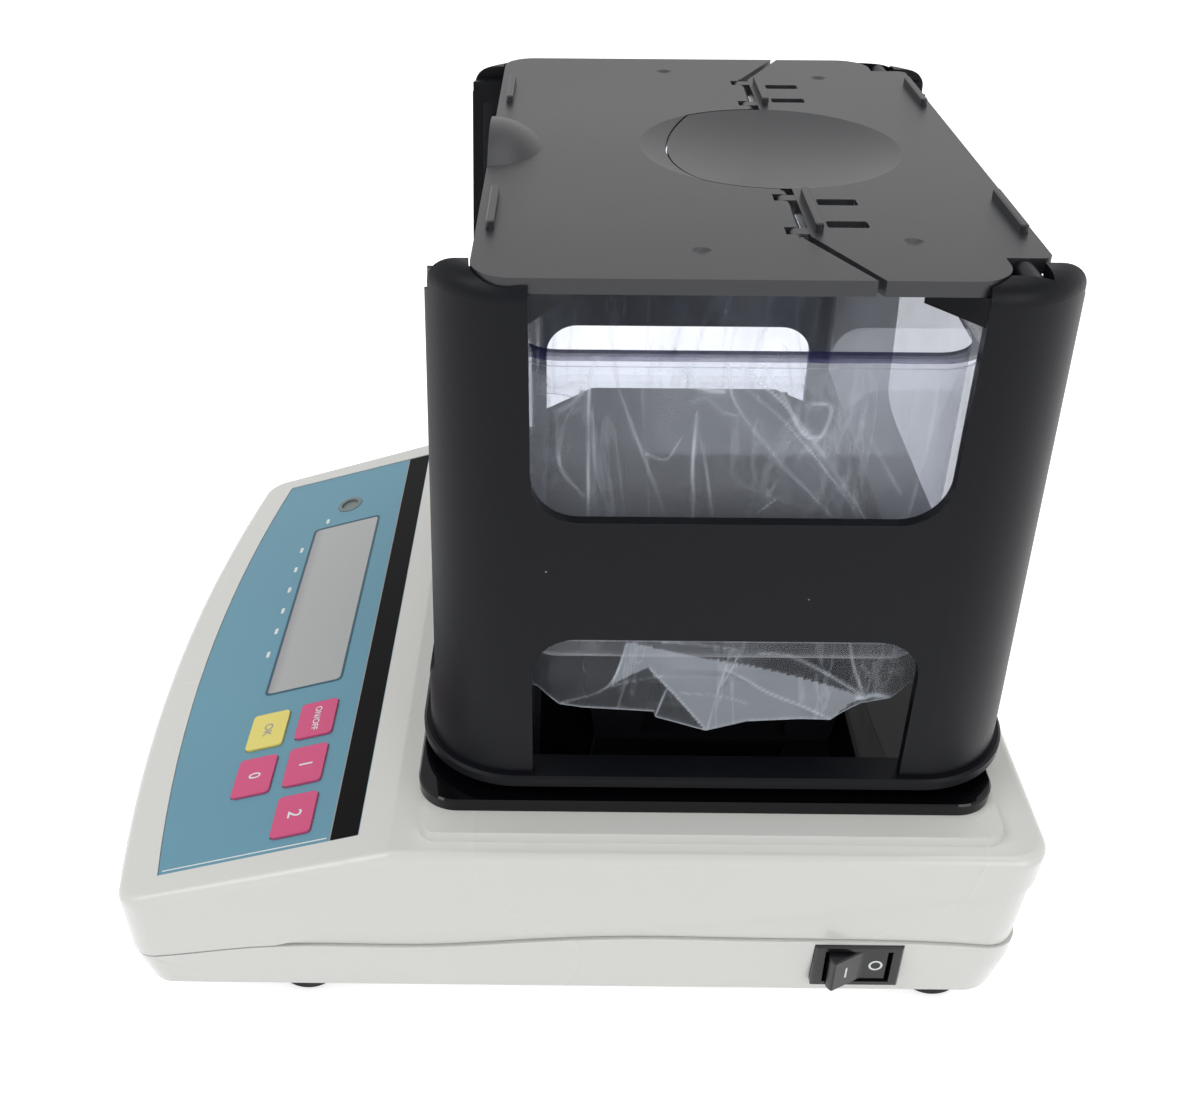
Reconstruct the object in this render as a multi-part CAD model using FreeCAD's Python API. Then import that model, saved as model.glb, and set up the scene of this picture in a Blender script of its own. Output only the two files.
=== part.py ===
import FreeCAD, Part
import math
import os

os.makedirs("parts", exist_ok=True)
Vector = FreeCAD.Vector
up = Vector(0, 0, 1)
along_x = Vector(1, 0, 0)
along_y = Vector(0, 1, 0)

# General clearances
overrun = 1.0
slip_gap = 0.3
seat_gap = 0.1
running_gap = 0.05

# Housing: outer form, walls and the slope of the panel
body_half_width = 95.0
body_half_length = 109.6
body_bottom = 5.0
deck_height = 59.5
crease_y = -36.9
slope_angle = 16.24
front_bow = 9.6
front_corner_radius = 7.0
rear_corner_radius = 8.5
side_tuck = 12.5
front_tuck = 11.5
rear_tuck = 9.0
housing_wall = 2.5
rim_fillet = 2.2
swoosh_depth = 0.7
parting_groove = 0.5
lip_height = 1.6
lip_gap = 0.15

# Shares of the housing's height, and of the tucks there
height_shares = (0.0, 0.03, 0.1, 0.3, 1.03)
side_tuck_shares = (1.0, 0.66, 0.42, 0.31, 0.0)
front_tuck_shares = (1.0, 0.66, 0.25, 0.02, 0.0)
rear_tuck_shares = (1.0, 0.64, 0.3, 0.08, 0.0)

# Parting line and ledge as shares of half length and of deck height
parting_shares = ((-1.0, 0.335), (-0.807, 0.371), (-0.651, 0.422), (-0.256, 0.44),
                  (-0.091, 0.471), (0.182, 0.507), (0.392, 0.501), (0.739, 0.494), (1.0, 0.45))
ledge_shares = ((-0.60, 0.44), (-0.411, 0.513), (-0.246, 0.52), (0.0, 0.543), (0.177, 0.582),
                (0.383, 0.629), (0.609, 0.708), (0.809, 0.775), (1.0, 0.82))

# Raised pad, glossy plate and their hole
pad_side_inset = 5.2
pad_front = -30.3
pad_rear_inset = 10.1
pad_height = 2.7
pad_radius = 4.0
plate_side_reach = 3.5
plate_front = -31.6
plate_rear = 99.2
plate_thick = 3.0
plate_radius = 9.4
plate_edge = 0.4
carrier_hole_radius = 11.0

# Tower
tower_centre_y = 36.2
tower_side_room = 7.4
tower_foot_half_length = 66.0
tower_top_half_length = 62.8
tower_radius = 21.0
tower_wall = 2.5
tower_top = 187.0
tower_rim_fillet = 4.5
foot_rim_height = 2.4
foot_rim_inset = 3.4
flange_thick = 3.2
flange_reach = 1.7
window_front = -5.3
window_rear = 76.3
upper_sill = 137.0
lower_window_top = 108.2
window_radius = 9.5
front_window_inset = 12.2
front_sill = 84.0
cap_thick = 5.2
cap_overlap = 1.3
gusset_thick = 5.5
gusset_reach = 8.5
gusset_inset = 13.5
rest_gap = 0.1

# Lid leaves
lid_side_inset = 1.6
lid_front = -16.0
lid_rear = 90.5
lid_thick = 3.0
lid_pocket_gap = 0.35
lid_corner_radius = 8.0
split_y = 46.3
split_end_y = 57.0
split_knee_inset = 21.0
split_gap = 2.6
diagonal_gap = 1.0
dish_radius = 29.2
dish_centre_y = 46.5
dish_depth = 3.2
dish_skin = 1.4
tongue_radius = 48.9
tongue_front = 23.5
tongue_gap = 0.4
shoulder_y = 81.6
tab_side_gap = 0.7
tab_radius = 2.0
bar_overhang = 2.5
bar_width = 1.6
bar_rise = 1.8
front_bar_y = -13.3
middle_bar_y = 49.5
rear_bar_y = 88.4
slot_half_width = 1.8
slot_inset = 2.0
slot_pitch = 12.7
slot_front = 51.5
slot_rear = 59.6
dimple_radius = 2.0
dimple_depth = 0.5
front_dimple_inset = 13.5
front_dimple_y = 26.3
rear_dimple_inset = 19.0
rear_dimple_y = 66.4
hood_half_width = 16.0
hood_length = 11.7
hood_rise = 5.0
hood_wall = 1.2
lid_skirt_depth = 3.0
lid_skirt_wall = 1.4
lid_skirt_inset = 12.0

# Hinges of the lid
rear_axis_y = 85.0
rear_axis_drop = 2.6
rear_barrel_radius = 2.6
rear_pin_radius = 1.5
rear_pin_reach = 11.4
rear_pin_end_inset = 1.5
ear_side_inset = 4.6
ear_width = 7.6
ear_half_depth = 3.2
ear_foot_drop = 8.0
middle_axis_setback = 1.1
middle_pin_radius = 0.75
knuckle_radius = 1.45
lug_pitch = 19.0
lug_width = 3.2
lug_knee_gap = 5.0
lug_gap = 0.35

# Tank, its stand and the film
tank_half_width = 72.2
tank_front = -10.0
tank_rear = 82.0
tank_bottom = 94.8
tank_top = 169.5
tank_wall = 2.4
tank_radius = 10.5
tank_rim_reach = 0.9
tank_rim_height = 2.2
stand_side_inset = 10.2
stand_front_inset = 5.0
stand_rear_inset = 4.0
stand_chamfer = 14.0
stand_thick = 3.0
leg_depth = 10.0
leg_width = 4.0
bag_gap = 0.3
bag_skin = 0.5
bag_hem = 82.0
bag_hem_swing = 5.0


# Panel overlay, display and keys
overlay_half_width = 86.0
overlay_rear = 8.0
overlay_front_side = 57.3
overlay_front_middle = 65.7
overlay_recess = 0.7
overlay_thick = 0.5
lcd_left = -54.0
lcd_right = 26.4
lcd_rear = 21.8
lcd_front = 43.0
lcd_glass_thick = 1.6
lcd_seat = 2.0
lcd_module_thick = 4.0
lcd_module_margin = 4.0
display_board_thick = 1.6
key_half_width = 6.6
key_half_depth = 5.0
key_radius = 1.2
key_rise = 0.6
key_stem_radius = 1.6
key_stem_length = 2.8
key_gap = 0.15
key_travel = 0.4
power_key = (41.5, 25.7)
enter_key = (42.0, 39.0)
a_key = (58.4, 25.7)
zero_key = (58.8, 39.1)
b_key = (75.3, 25.4)
vial_place = (-65.5, 33.2)
vial_radius = 4.0
vial_depth = 3.0
vial_rise = 0.3

# Rocker switch
switch_length = 20.7
switch_height = 13.7
switch_rear_inset = 28.3
switch_under_parting = 0.693
bezel_reach = 1.4
bezel_wall = 0.9
rocker_stub = 0.5
switch_depth = 16.0
rocker_front_inset = 3.2
rocker_rear_inset = 3.1
rocker_gap = 0.7
rocker_end_inset = 1.9
rocker_tip = 3.4
rocker_depth = 5.0
rocker_pivot_depth = 2.2
rocker_pivot_radius = 1.2
terminal_half = 2.4
terminal_thick = 0.8
terminal_length = 6.0

# Feet
foot_side_inset = 19.0
foot_front_inset = 47.6
foot_rear_inset = 15.6
foot_radius = 8.5
foot_top_radius = 7.0
foot_fillet = 1.5
foot_stem_radius = 3.0
foot_stem_length = 10.0
foot_boss_radius = 6.5

# Inner works
cell_width = 22.0
cell_height = 22.0
cell_side_gap = 15.0
cell_waist_radius = 7.0
cell_waist_share = 0.1375
cell_bottom = 18.0
cell_overlap = 14.0
mount_length = 24.0
mount_skirt = 5.0
cell_screw_radius = 2.0
cell_screw_head_radius = 3.6
cell_screw_head = 3.0
cell_screw_spacing = 12.0
cell_screw_bite = 12.0
carrier_radius = 8.0
carrier_flange_radius = 11.0
carrier_flange = 3.0
pan_half_width = 45.0
pan_half_depth = 30.0
pan_thick = 2.0
pan_radius = 6.0
pan_lift = 3.0
main_board_half_width = 30.0
main_board_length = 55.0
main_board_thick = 1.6
main_board_centre_x = -38.5
main_board_rear_gap = 30.6
standoff_radius = 3.0
standoff_height = 8.0
standoff_inset = 5.0
chip_half = 7.0
chip_thick = 2.0
jack_x = -50.0
jack_z = 20.0
jack_radius = 5.0
jack_bore_radius = 2.8
jack_pin_radius = 1.0
jack_length = 12.0
jack_flange = 7.0
port_x = -20.0
port_half_width = 15.5
port_half_height = 6.2
port_shell_half_width = 8.5
port_shell_half_height = 4.2
port_shell_slant = 1.4
port_depth = 12.0
port_flange_thick = 1.2
port_screw_x = 12.5
port_screw_radius = 1.6
housing_post_radius = 4.0
housing_screw_radius = 1.5
housing_screw_head_radius = 3.0
housing_screw_head = 2.2
housing_screw_length = 26.0
post_end_inset = 21.6
front_post_side_inset = 15.0
middle_post_side_inset = 17.0
middle_post_y = 8.0
rear_post_side_inset = 33.0
post_step = 12.0
rib_thick = 1.6
rib_height = 6.0
rib_places_share = (-0.5, -0.2)
rear_rib_inset = 30.688
vent_count = 7
vent_half_width = 1.2
vent_length = 24.0
vent_pitch = 5.0
vent_front = -20.0

slope = math.radians(slope_angle)
foot_x = body_half_width - foot_side_inset
front_foot_y = foot_front_inset - body_half_length
rear_foot_y = body_half_length - foot_rear_inset
front_post_x = body_half_width - front_post_side_inset
middle_post_x = body_half_width - middle_post_side_inset
rear_post_x = body_half_width - rear_post_side_inset
front_post_y = post_end_inset - body_half_length
rear_post_y = body_half_length - post_end_inset
pad_half_width = body_half_width - pad_side_inset
pad_rear = body_half_length - pad_rear_inset
tower_half_width = tank_half_width + tower_side_room
plate_half_width = tower_half_width + plate_side_reach
front_window_half = tower_half_width - front_window_inset
lid_half_width = tower_half_width - lid_side_inset
split_knee_x = lid_half_width - split_knee_inset
lug_outer = split_knee_x - lug_knee_gap
lug_inner = lug_outer - lug_pitch
bar_inner = lug_inner
bar_outer = lug_outer + bar_overhang
slot_places = (lug_outer - slot_inset - slot_pitch, lug_outer - slot_inset)
front_dimple = (lid_half_width - front_dimple_inset, front_dimple_y)
rear_dimple = (lid_half_width - rear_dimple_inset, rear_dimple_y)
ear_outer = tower_half_width - ear_side_inset
ear_inner = ear_outer - ear_width
cap_end = ear_inner + cap_overlap
tab_half_width = ear_inner - tab_side_gap
rear_pin_inner = ear_inner - rear_pin_reach
rear_pin_outer = ear_outer - rear_pin_end_inset
stand_half_width = tank_half_width - stand_side_inset
stand_front = tank_front + stand_front_inset
stand_rear = tank_rear - stand_rear_inset
switch_rear = body_half_length - switch_rear_inset
switch_front = switch_rear - switch_length
switch_high = deck_height * parting_shares[-2][1] - switch_under_parting
switch_low = switch_high - switch_height
rocker_front = switch_front + rocker_front_inset
rocker_rear = switch_rear - rocker_rear_inset
rocker_low = switch_low + rocker_end_inset
rocker_high = switch_high - rocker_end_inset
cell_length = body_half_width - cell_side_gap
cell_waist_offset = cell_length * cell_waist_share
main_board_front = body_half_length - main_board_rear_gap - main_board_length
pad_top = deck_height + pad_height
plate_top = pad_top + plate_thick
flange_bottom = plate_top + foot_rim_height
flange_top = flange_bottom + flange_thick
lid_bottom = tower_top - lid_thick
shelf_top = lid_bottom - rest_gap
rear_axis_z = tower_top - rear_axis_drop
middle_axis_y = split_y - middle_axis_setback
middle_axis_z = tower_top - lid_thick / 2
tank_centre_y = (tank_front + tank_rear) / 2
slot_width = lug_width + 2 * lug_gap
body_span = deck_height - body_bottom


def block(x0, x1, y0, y1, z0, z1):
    return Part.makeBox(x1 - x0, y1 - y0, z1 - z0, Vector(x0, y0, z0))


def rod(radius, length, start, direction):
    return Part.makeCylinder(radius, length, start, direction)


def join(shapes):
    if len(shapes) == 1:
        return shapes[0]
    return shapes[0].multiFuse(shapes[1:]).removeSplitter()


def rounded_wire(x0, x1, y0, y1, z, radius):
    low = [Vector(x0 + radius, y0, z), Vector(x1 - radius, y0, z),
           Vector(x1, y0 + radius, z), Vector(x1, y1 - radius, z),
           Vector(x1 - radius, y1, z), Vector(x0 + radius, y1, z),
           Vector(x0, y1 - radius, z), Vector(x0, y0 + radius, z)]
    slack = radius * (1 - math.sqrt(0.5))
    bends = [Vector(x1 - slack, y0 + slack, z), Vector(x1 - slack, y1 - slack, z),
             Vector(x0 + slack, y1 - slack, z), Vector(x0 + slack, y0 + slack, z)]
    edges = []
    for i in range(4):
        edges.append(Part.makeLine(low[2 * i], low[2 * i + 1]))
        edges.append(Part.Arc(low[2 * i + 1], bends[i], low[(2 * i + 2) % 8]).toShape())
    return Part.Wire(edges)


def rounded_plate(x0, x1, y0, y1, z0, z1, radius):
    face = Part.Face(rounded_wire(x0, x1, y0, y1, z0, radius))
    return face.extrude(Vector(0, 0, z1 - z0))


def side_prism(points, x0, x1):
    corners = [Vector(x0, y, z) for y, z in points]
    return Part.Face(Part.makePolygon(corners + corners[:1])).extrude(Vector(x1 - x0, 0, 0))


def plan_prism(points, z0, z1):
    corners = [Vector(x, y, z0) for x, y in points]
    return Part.Face(Part.makePolygon(corners + corners[:1])).extrude(Vector(0, 0, z1 - z0))


def side_window(y0, y1, z0, z1, radius, x0, x1):
    plate = rounded_plate(z0, z1, y0, y1, x0, x1, radius)
    plate.rotate(Vector(0, 0, 0), along_y, -90)
    turned = plate.mirror(Vector(0, 0, 0), along_x)
    return turned


def mirrored(shape):
    return shape.mirror(Vector(0, 0, 0), along_x)


def both_sides(shapes):
    return shapes + [mirrored(shape) for shape in shapes]


# A point of the sloping panel: x, way down the slope from the crease, height over it
def on_panel(x, down, rise):
    return Vector(x, crease_y - down * math.cos(slope) - rise * math.sin(slope),
                  deck_height - down * math.sin(slope) + rise * math.cos(slope))


panel_normal = Vector(0, -math.sin(slope), math.cos(slope))


# Panel shapes are drawn flat, with y as the way down the slope, and tipped into place
def to_panel(solid):
    flipped = solid.mirror(Vector(0, 0, 0), along_y)
    flipped.rotate(Vector(0, 0, 0), along_x, slope_angle)
    flipped.translate(Vector(0, crease_y, deck_height))
    return flipped


def on_panel_rounded(x0, x1, d0, d1, h0, h1, radius):
    return to_panel(rounded_plate(x0, x1, d0, d1, h0, h1, radius))


# Housing outline: straight sides and rear, bowed front, all corners round
def housing_wire(station, inset):
    half = body_half_width - side_tuck * side_tuck_shares[station] - inset
    front = -body_half_length + front_tuck * front_tuck_shares[station] + inset
    rear = body_half_length - rear_tuck * rear_tuck_shares[station] - inset
    z = body_bottom + body_span * height_shares[station]
    fr = front_corner_radius - inset
    rr = rear_corner_radius - inset
    bow = (body_half_width * body_half_width + front_bow * front_bow) / (2 * front_bow) - inset
    centre_y = front + bow
    fy = centre_y - math.sqrt((bow - fr) ** 2 - (half - fr) ** 2)
    lean = math.atan2(half - fr, centre_y - fy)
    tip = Vector(bow * math.sin(lean), centre_y - bow * math.cos(lean), z)
    side_low = Vector(half, fy, z)
    middle = (lean + math.pi / 2) / 2
    bend = Vector(half - fr + fr * math.sin(middle), fy - fr * math.cos(middle), z)
    slack = rr * (1 - math.sqrt(0.5))
    side_high = Vector(half, rear - rr, z)
    rear_right = Vector(half - rr, rear, z)
    rear_bend = Vector(half - slack, rear - slack, z)

    def flip(p):
        return Vector(-p.x, p.y, p.z)

    edges = [Part.Arc(flip(tip), Vector(0, front, z), tip).toShape(),
             Part.Arc(tip, bend, side_low).toShape(),
             Part.makeLine(side_low, side_high),
             Part.Arc(side_high, rear_bend, rear_right).toShape(),
             Part.makeLine(rear_right, flip(rear_right)),
             Part.Arc(flip(rear_right), flip(rear_bend), flip(side_high)).toShape(),
             Part.makeLine(flip(side_high), flip(side_low)),
             Part.Arc(flip(side_low), flip(bend), flip(tip)).toShape()]
    return Part.Wire(edges)


def housing_form(inset):
    wires = [housing_wire(i, inset) for i in range(len(height_shares))]
    return Part.makeLoft(wires, True, True)


def under_roof(drop):
    reach = body_half_length + overrun
    fall = (reach + crease_y) * math.tan(slope)
    level = deck_height - drop
    crease = crease_y - drop * math.tan(slope / 2)
    return side_prism([(-reach, 0), (reach, 0), (reach, level), (crease, level),
                       (-reach, level - fall)], -body_half_width - overrun, body_half_width + overrun)


def wavy_region(shares, lift, top):
    far = body_half_length + 2 * overrun
    points = [Vector(0, y * body_half_length, z * deck_height + lift) for y, z in shares]
    curve = Part.BSplineCurve()
    curve.interpolate(points)
    low = points[0]
    high = points[-1]
    start = Vector(0, -far, low.z)
    end = Vector(0, far, high.z)
    corners = [Vector(0, far, top), Vector(0, -far, top)]
    edges = [Part.makeLine(start, low), curve.toShape(), Part.makeLine(high, end),
             Part.makeLine(end, corners[0]), Part.makeLine(corners[0], corners[1]),
             Part.makeLine(corners[1], start)]
    face = Part.Face(Part.Wire(edges))
    half = body_half_width + overrun
    face.translate(Vector(-half, 0, 0))
    return face.extrude(Vector(2 * half, 0, 0))


def filleted_top(solid, radius, least):
    edges = []
    for edge in solid.Edges:
        box = edge.BoundBox
        flat = box.ZLength < overrun / 4 and abs(box.ZMax - deck_height) < overrun / 4
        sloped = box.ZMax <= deck_height + overrun / 4 and box.ZMin > least
        if flat or sloped:
            edges.append(edge)
    return solid.makeFillet(radius, edges)


# Both housing shells come from one form, cut along the wavy parting line
def housing_shells():
    outer = housing_form(0).common(under_roof(0))
    least = deck_height - (body_half_length + crease_y) * math.tan(slope) - overrun
    outer = filleted_top(outer, rim_fillet, least)
    ledge_top = wavy_region(ledge_shares, 0, 2 * deck_height)
    parting_top = wavy_region(parting_shares, 0, 2 * deck_height)
    skin = outer.cut(housing_form(swoosh_depth))
    band = skin.common(parting_top).cut(ledge_top)
    start = ledge_shares[0][0] * body_half_length
    keep = block(-body_half_width - overrun, body_half_width + overrun,
                 -body_half_length - overrun, start, 0, deck_height)
    outer = outer.cut(band.cut(keep))
    inner = housing_form(housing_wall).common(under_roof(housing_wall))
    floor = body_bottom + housing_wall
    half = body_half_width + overrun
    far = body_half_length + overrun
    inner = inner.common(block(-half, half, -far, far, floor, 2 * deck_height))
    shell = outer.cut(inner)
    middle = housing_wall / 2
    above_gap = wavy_region(parting_shares, parting_groove, 2 * deck_height)
    above_lip = wavy_region(parting_shares, lip_height, 2 * deck_height)
    rebate = housing_form(middle - lip_gap).cut(above_lip)
    tongue = housing_form(middle + lip_gap).cut(inner).common(parting_top).cut(above_lip)
    tongue = tongue.common(under_roof(housing_wall))
    top = shell.common(above_gap).cut(rebate)
    bottom = shell.cut(parting_top).fuse(tongue)
    return top, bottom


post_places = [(front_post_x, front_post_y), (middle_post_x, middle_post_y),
               (rear_post_x, rear_post_y)]
foot_places = {"front_left": (-foot_x, front_foot_y), "front_right": (foot_x, front_foot_y),
               "rear_left": (-foot_x, rear_foot_y), "rear_right": (foot_x, rear_foot_y)}
key_places = {"power": power_key, "enter": enter_key, "a": a_key, "zero": zero_key, "b": b_key}


def overlay_outline(margin, h0, h1):
    half = overlay_half_width + margin
    rear = overlay_rear - margin
    side = overlay_front_side + margin
    middle = overlay_front_middle + margin
    corners = [Vector(-half, rear, h0), Vector(half, rear, h0), Vector(half, side, h0)]
    edges = [Part.makeLine(corners[0], corners[1]), Part.makeLine(corners[1], corners[2]),
             Part.Arc(corners[2], Vector(0, middle, h0), Vector(-half, side, h0)).toShape(),
             Part.makeLine(Vector(-half, side, h0), corners[0])]
    solid = Part.Face(Part.Wire(edges)).extrude(Vector(0, 0, h1 - h0))
    return to_panel(solid)


def finish_top_housing(top):
    pad = Part.makeLoft([rounded_wire(-pad_half_width - slip_gap, pad_half_width + slip_gap,
                                      pad_front - slip_gap, pad_rear + slip_gap,
                                      deck_height - housing_wall, pad_radius),
                         rounded_wire(-pad_half_width, pad_half_width, pad_front, pad_rear,
                                      pad_top, pad_radius)], True, True)
    posts = []
    inside = housing_form(housing_wall / 2).common(under_roof(housing_wall / 2))
    for x, y in post_places:
        base = body_bottom + housing_wall + housing_screw_length - post_step
        posts.append(rod(housing_post_radius, deck_height, Vector(x, y, base), up).common(inside))
    top = join([top, pad] + both_sides(posts))
    holes = [rod(housing_screw_radius, post_step, Vector(x, y, body_bottom + housing_wall
                 + housing_screw_length - post_step - overrun), up) for x, y in post_places]
    top = top.cut(Part.makeCompound(both_sides(holes)))
    top = top.cut(overlay_outline(slip_gap / 2, -overlay_recess, overrun))
    tools = [on_panel_rounded(lcd_left + lcd_seat, lcd_right - lcd_seat, lcd_rear + lcd_seat,
                              lcd_front - lcd_seat, -2 * housing_wall, overrun, key_radius),
             on_panel_rounded(lcd_left, lcd_right, lcd_rear, lcd_front,
                              -overlay_recess - lcd_glass_thick + overlay_thick, overrun, key_radius)]
    for x, down in key_places.values():
        tools.append(rod(key_stem_radius + slip_gap, 4 * housing_wall,
                         on_panel(x, down, -2 * housing_wall), panel_normal))
    tools.append(rod(vial_radius + seat_gap, vial_depth + overrun,
                     on_panel(vial_place[0], vial_place[1], -vial_depth), panel_normal))
    tools.append(rod(carrier_hole_radius, 3 * pad_height + housing_wall,
                     Vector(0, tank_centre_y, deck_height - 2 * housing_wall), up))
    return top.cut(Part.makeCompound(tools))


def rear_sockets_cut():
    rear = body_half_length - 4 * housing_wall
    jack = rod(jack_radius + seat_gap, 6 * housing_wall, Vector(jack_x, rear, jack_z), along_y)
    port = block(port_x - port_half_width - seat_gap, port_x + port_half_width + seat_gap,
                 rear, body_half_length + overrun,
                 jack_z - port_half_height - seat_gap, jack_z + port_half_height + seat_gap)
    return Part.makeCompound([jack, port])


def finish_bottom_housing(bottom):
    adds = []
    inside = housing_form(housing_wall / 2)
    low = body_bottom + housing_wall / 2
    for x, y in post_places:
        height = housing_screw_length - post_step + housing_wall / 2 - running_gap
        adds.append(rod(housing_post_radius, height, Vector(x, y, low), up))
    for x, y in [(foot_x, front_foot_y), (foot_x, rear_foot_y)]:
        adds.append(rod(foot_boss_radius, foot_stem_length, Vector(x, y, low), up))
    adds = both_sides(adds)
    rib_places = [share * body_half_length for share in rib_places_share]
    for y in rib_places + [body_half_length - rear_rib_inset]:
        rib = block(-body_half_width, body_half_width, y, y + rib_thick, low, low + rib_height)
        adds.append(rib.common(inside))
    bottom = join([bottom] + adds)
    cuts = []
    for x, y in post_places:
        cuts.append(rod(housing_screw_radius + slip_gap, deck_height, Vector(x, y, 0), up))
        cuts.append(rod(housing_screw_head_radius + slip_gap, housing_screw_head + seat_gap + overrun,
                        Vector(x, y, body_bottom - overrun), up))
    for x, y in [(foot_x, front_foot_y), (foot_x, rear_foot_y)]:
        cuts.append(rod(foot_stem_radius + running_gap, deck_height / 2, Vector(x, y, 0), up))
    cuts = both_sides(cuts)
    cuts.append(block(body_half_width - switch_depth, body_half_width + overrun,
                      switch_front + bezel_wall, switch_rear - bezel_wall,
                      switch_low + bezel_wall, switch_high - bezel_wall))
    seat = body_half_width - side_tuck * side_tuck_shares[3] - swoosh_depth - seat_gap
    cuts.append(block(seat, body_half_width + overrun, switch_front - seat_gap, switch_rear + seat_gap,
                      switch_low - seat_gap, switch_high + seat_gap))
    cuts.append(rear_sockets_cut())
    first = -(vent_count - 1) * vent_pitch / 2
    for i in range(vent_count):
        x = first + i * vent_pitch
        cuts.append(block(x - vent_half_width, x + vent_half_width, vent_front,
                          vent_front + vent_length, 0, body_bottom + housing_wall + overrun))
    return bottom.cut(Part.makeCompound(cuts))


def make_foot(place):
    x, y = foot_places[place]
    pad = Part.makeCone(foot_radius, foot_top_radius, body_bottom, Vector(x, y, 0), up)
    pad = pad.makeChamfer(foot_fillet, [e for e in pad.Edges if e.BoundBox.ZMax < body_bottom / 2])
    stem = rod(foot_stem_radius, body_bottom + foot_stem_length - overrun, Vector(x, y, 0), up)
    return pad.fuse(stem).removeSplitter()


def make_housing_screws():
    screws = []
    for x, y in post_places:
        head_z = body_bottom + seat_gap
        head = rod(housing_screw_head_radius, housing_screw_head, Vector(x, y, head_z), up)
        shank = rod(housing_screw_radius - running_gap, housing_screw_length,
                    Vector(x, y, head_z), up)
        slot = block(x - housing_screw_radius, x + housing_screw_radius, y - seat_gap * 4,
                     y + seat_gap * 4, head_z - overrun, head_z + housing_screw_head / 2)
        screws.append(head.fuse(shank).removeSplitter().cut(slot))
    return Part.makeCompound(both_sides(screws))


def make_overlay():
    sheet = overlay_outline(0, -overlay_recess, overlay_thick - overlay_recess)
    cuts = [on_panel_rounded(lcd_left - seat_gap, lcd_right + seat_gap, lcd_rear - seat_gap,
                             lcd_front + seat_gap, -2 * overrun, overrun, key_radius)]
    for x, down in key_places.values():
        cuts.append(on_panel_rounded(x - key_half_width - key_gap, x + key_half_width + key_gap,
                                     down - key_half_depth - key_gap, down + key_half_depth + key_gap,
                                     -2 * overrun, overrun, key_radius))
    cuts.append(rod(vial_radius + seat_gap, 3 * overrun,
                    on_panel(vial_place[0], vial_place[1], -2 * overrun), panel_normal))
    return sheet.cut(Part.makeCompound(cuts))


def make_lcd_window():
    low = -overlay_recess - lcd_glass_thick + overlay_thick
    return on_panel_rounded(lcd_left + seat_gap, lcd_right - seat_gap, lcd_rear + seat_gap,
                            lcd_front - seat_gap, low, low + lcd_glass_thick, key_radius)


def make_lcd_module():
    top = -housing_wall - seat_gap
    body = on_panel_rounded(lcd_left - lcd_module_margin, lcd_right + lcd_module_margin,
                            lcd_rear - lcd_module_margin / 2, lcd_front + lcd_module_margin / 2,
                            top - lcd_module_thick, top, key_radius)
    well = on_panel_rounded(lcd_left + lcd_seat, lcd_right - lcd_seat, lcd_rear + lcd_seat,
                            lcd_front - lcd_seat, top - overlay_recess, overrun, key_radius)
    return body.cut(well)


def make_display_board():
    top = -housing_wall - seat_gap - lcd_module_thick
    board = on_panel_rounded(lcd_left - 2 * lcd_module_margin, b_key[0] + key_half_width,
                             lcd_rear - lcd_module_margin, lcd_front + lcd_module_margin,
                             top - display_board_thick, top, key_radius)
    pads = []
    for x, down in key_places.values():
        low = key_floor() - key_travel - seat_gap
        pads.append(rod(key_stem_radius, low - top + overrun / 4,
                        on_panel(x, down, top - overrun / 4), panel_normal))
    return join([board] + pads)


def key_floor():
    return -overlay_recess - key_stem_length


def make_key(name):
    x, down = key_places[name]
    low = -overlay_recess + key_travel + seat_gap
    cap = on_panel_rounded(x - key_half_width, x + key_half_width, down - key_half_depth,
                           down + key_half_depth, low, low + key_rise, key_radius)
    stem = rod(key_stem_radius, key_stem_length + key_travel + seat_gap + key_rise / 2,
               on_panel(x, down, key_floor()), panel_normal)
    return cap.fuse(stem).removeSplitter()


def make_vial():
    base = on_panel(vial_place[0], vial_place[1], -vial_depth)
    body = rod(vial_radius, vial_depth + vial_rise - overlay_recess / 2, base, panel_normal)
    well = rod(vial_radius * 0.7, vial_depth, on_panel(vial_place[0], vial_place[1], -vial_depth / 2),
               panel_normal)
    lens = rod(vial_radius * 0.7 - running_gap, vial_depth / 4,
               on_panel(vial_place[0], vial_place[1], -vial_depth / 2), panel_normal)
    return join([body.cut(well), lens, rod(vial_radius * 0.72, vial_depth / 4, base, panel_normal)])


def make_base_plate():
    plate = rounded_plate(-plate_half_width, plate_half_width, plate_front, plate_rear,
                          pad_top, plate_top, plate_radius)
    plate = plate.makeChamfer(plate_edge, [e for e in plate.Edges
                                           if e.BoundBox.ZMin > plate_top - seat_gap])
    return plate.cut(rod(carrier_hole_radius, 3 * plate_thick,
                         Vector(0, tank_centre_y, pad_top - plate_thick), up))


def tower_wire(half_length, z, inset):
    return rounded_wire(-tower_half_width + inset, tower_half_width - inset,
                        tower_centre_y - half_length + inset, tower_centre_y + half_length - inset,
                        z, tower_radius - inset)


# The front and rear walls lean in: each is one end of a tilted prism, and the two are crossed
def leaning_prism(sign, inset, low, high):
    lean = math.atan2(tower_foot_half_length - tower_top_half_length, tower_top - flange_top)
    half = tower_half_width - inset
    radius = tower_radius - inset
    end = tower_centre_y + sign * (tower_foot_half_length - inset)
    back = tower_centre_y - sign * 2 * tower_foot_half_length
    reach = tower_foot_half_length
    plate = rounded_plate(-half, half, min(end, back - sign * radius), max(end, back - sign * radius),
                          low - reach, high + reach, radius)
    plate.rotate(Vector(0, end, flange_top), along_x, sign * math.degrees(lean))
    keep = block(-half - overrun, half + overrun, tower_centre_y - 4 * reach, tower_centre_y + 4 * reach,
                 low, high)
    return plate.common(keep)


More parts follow.
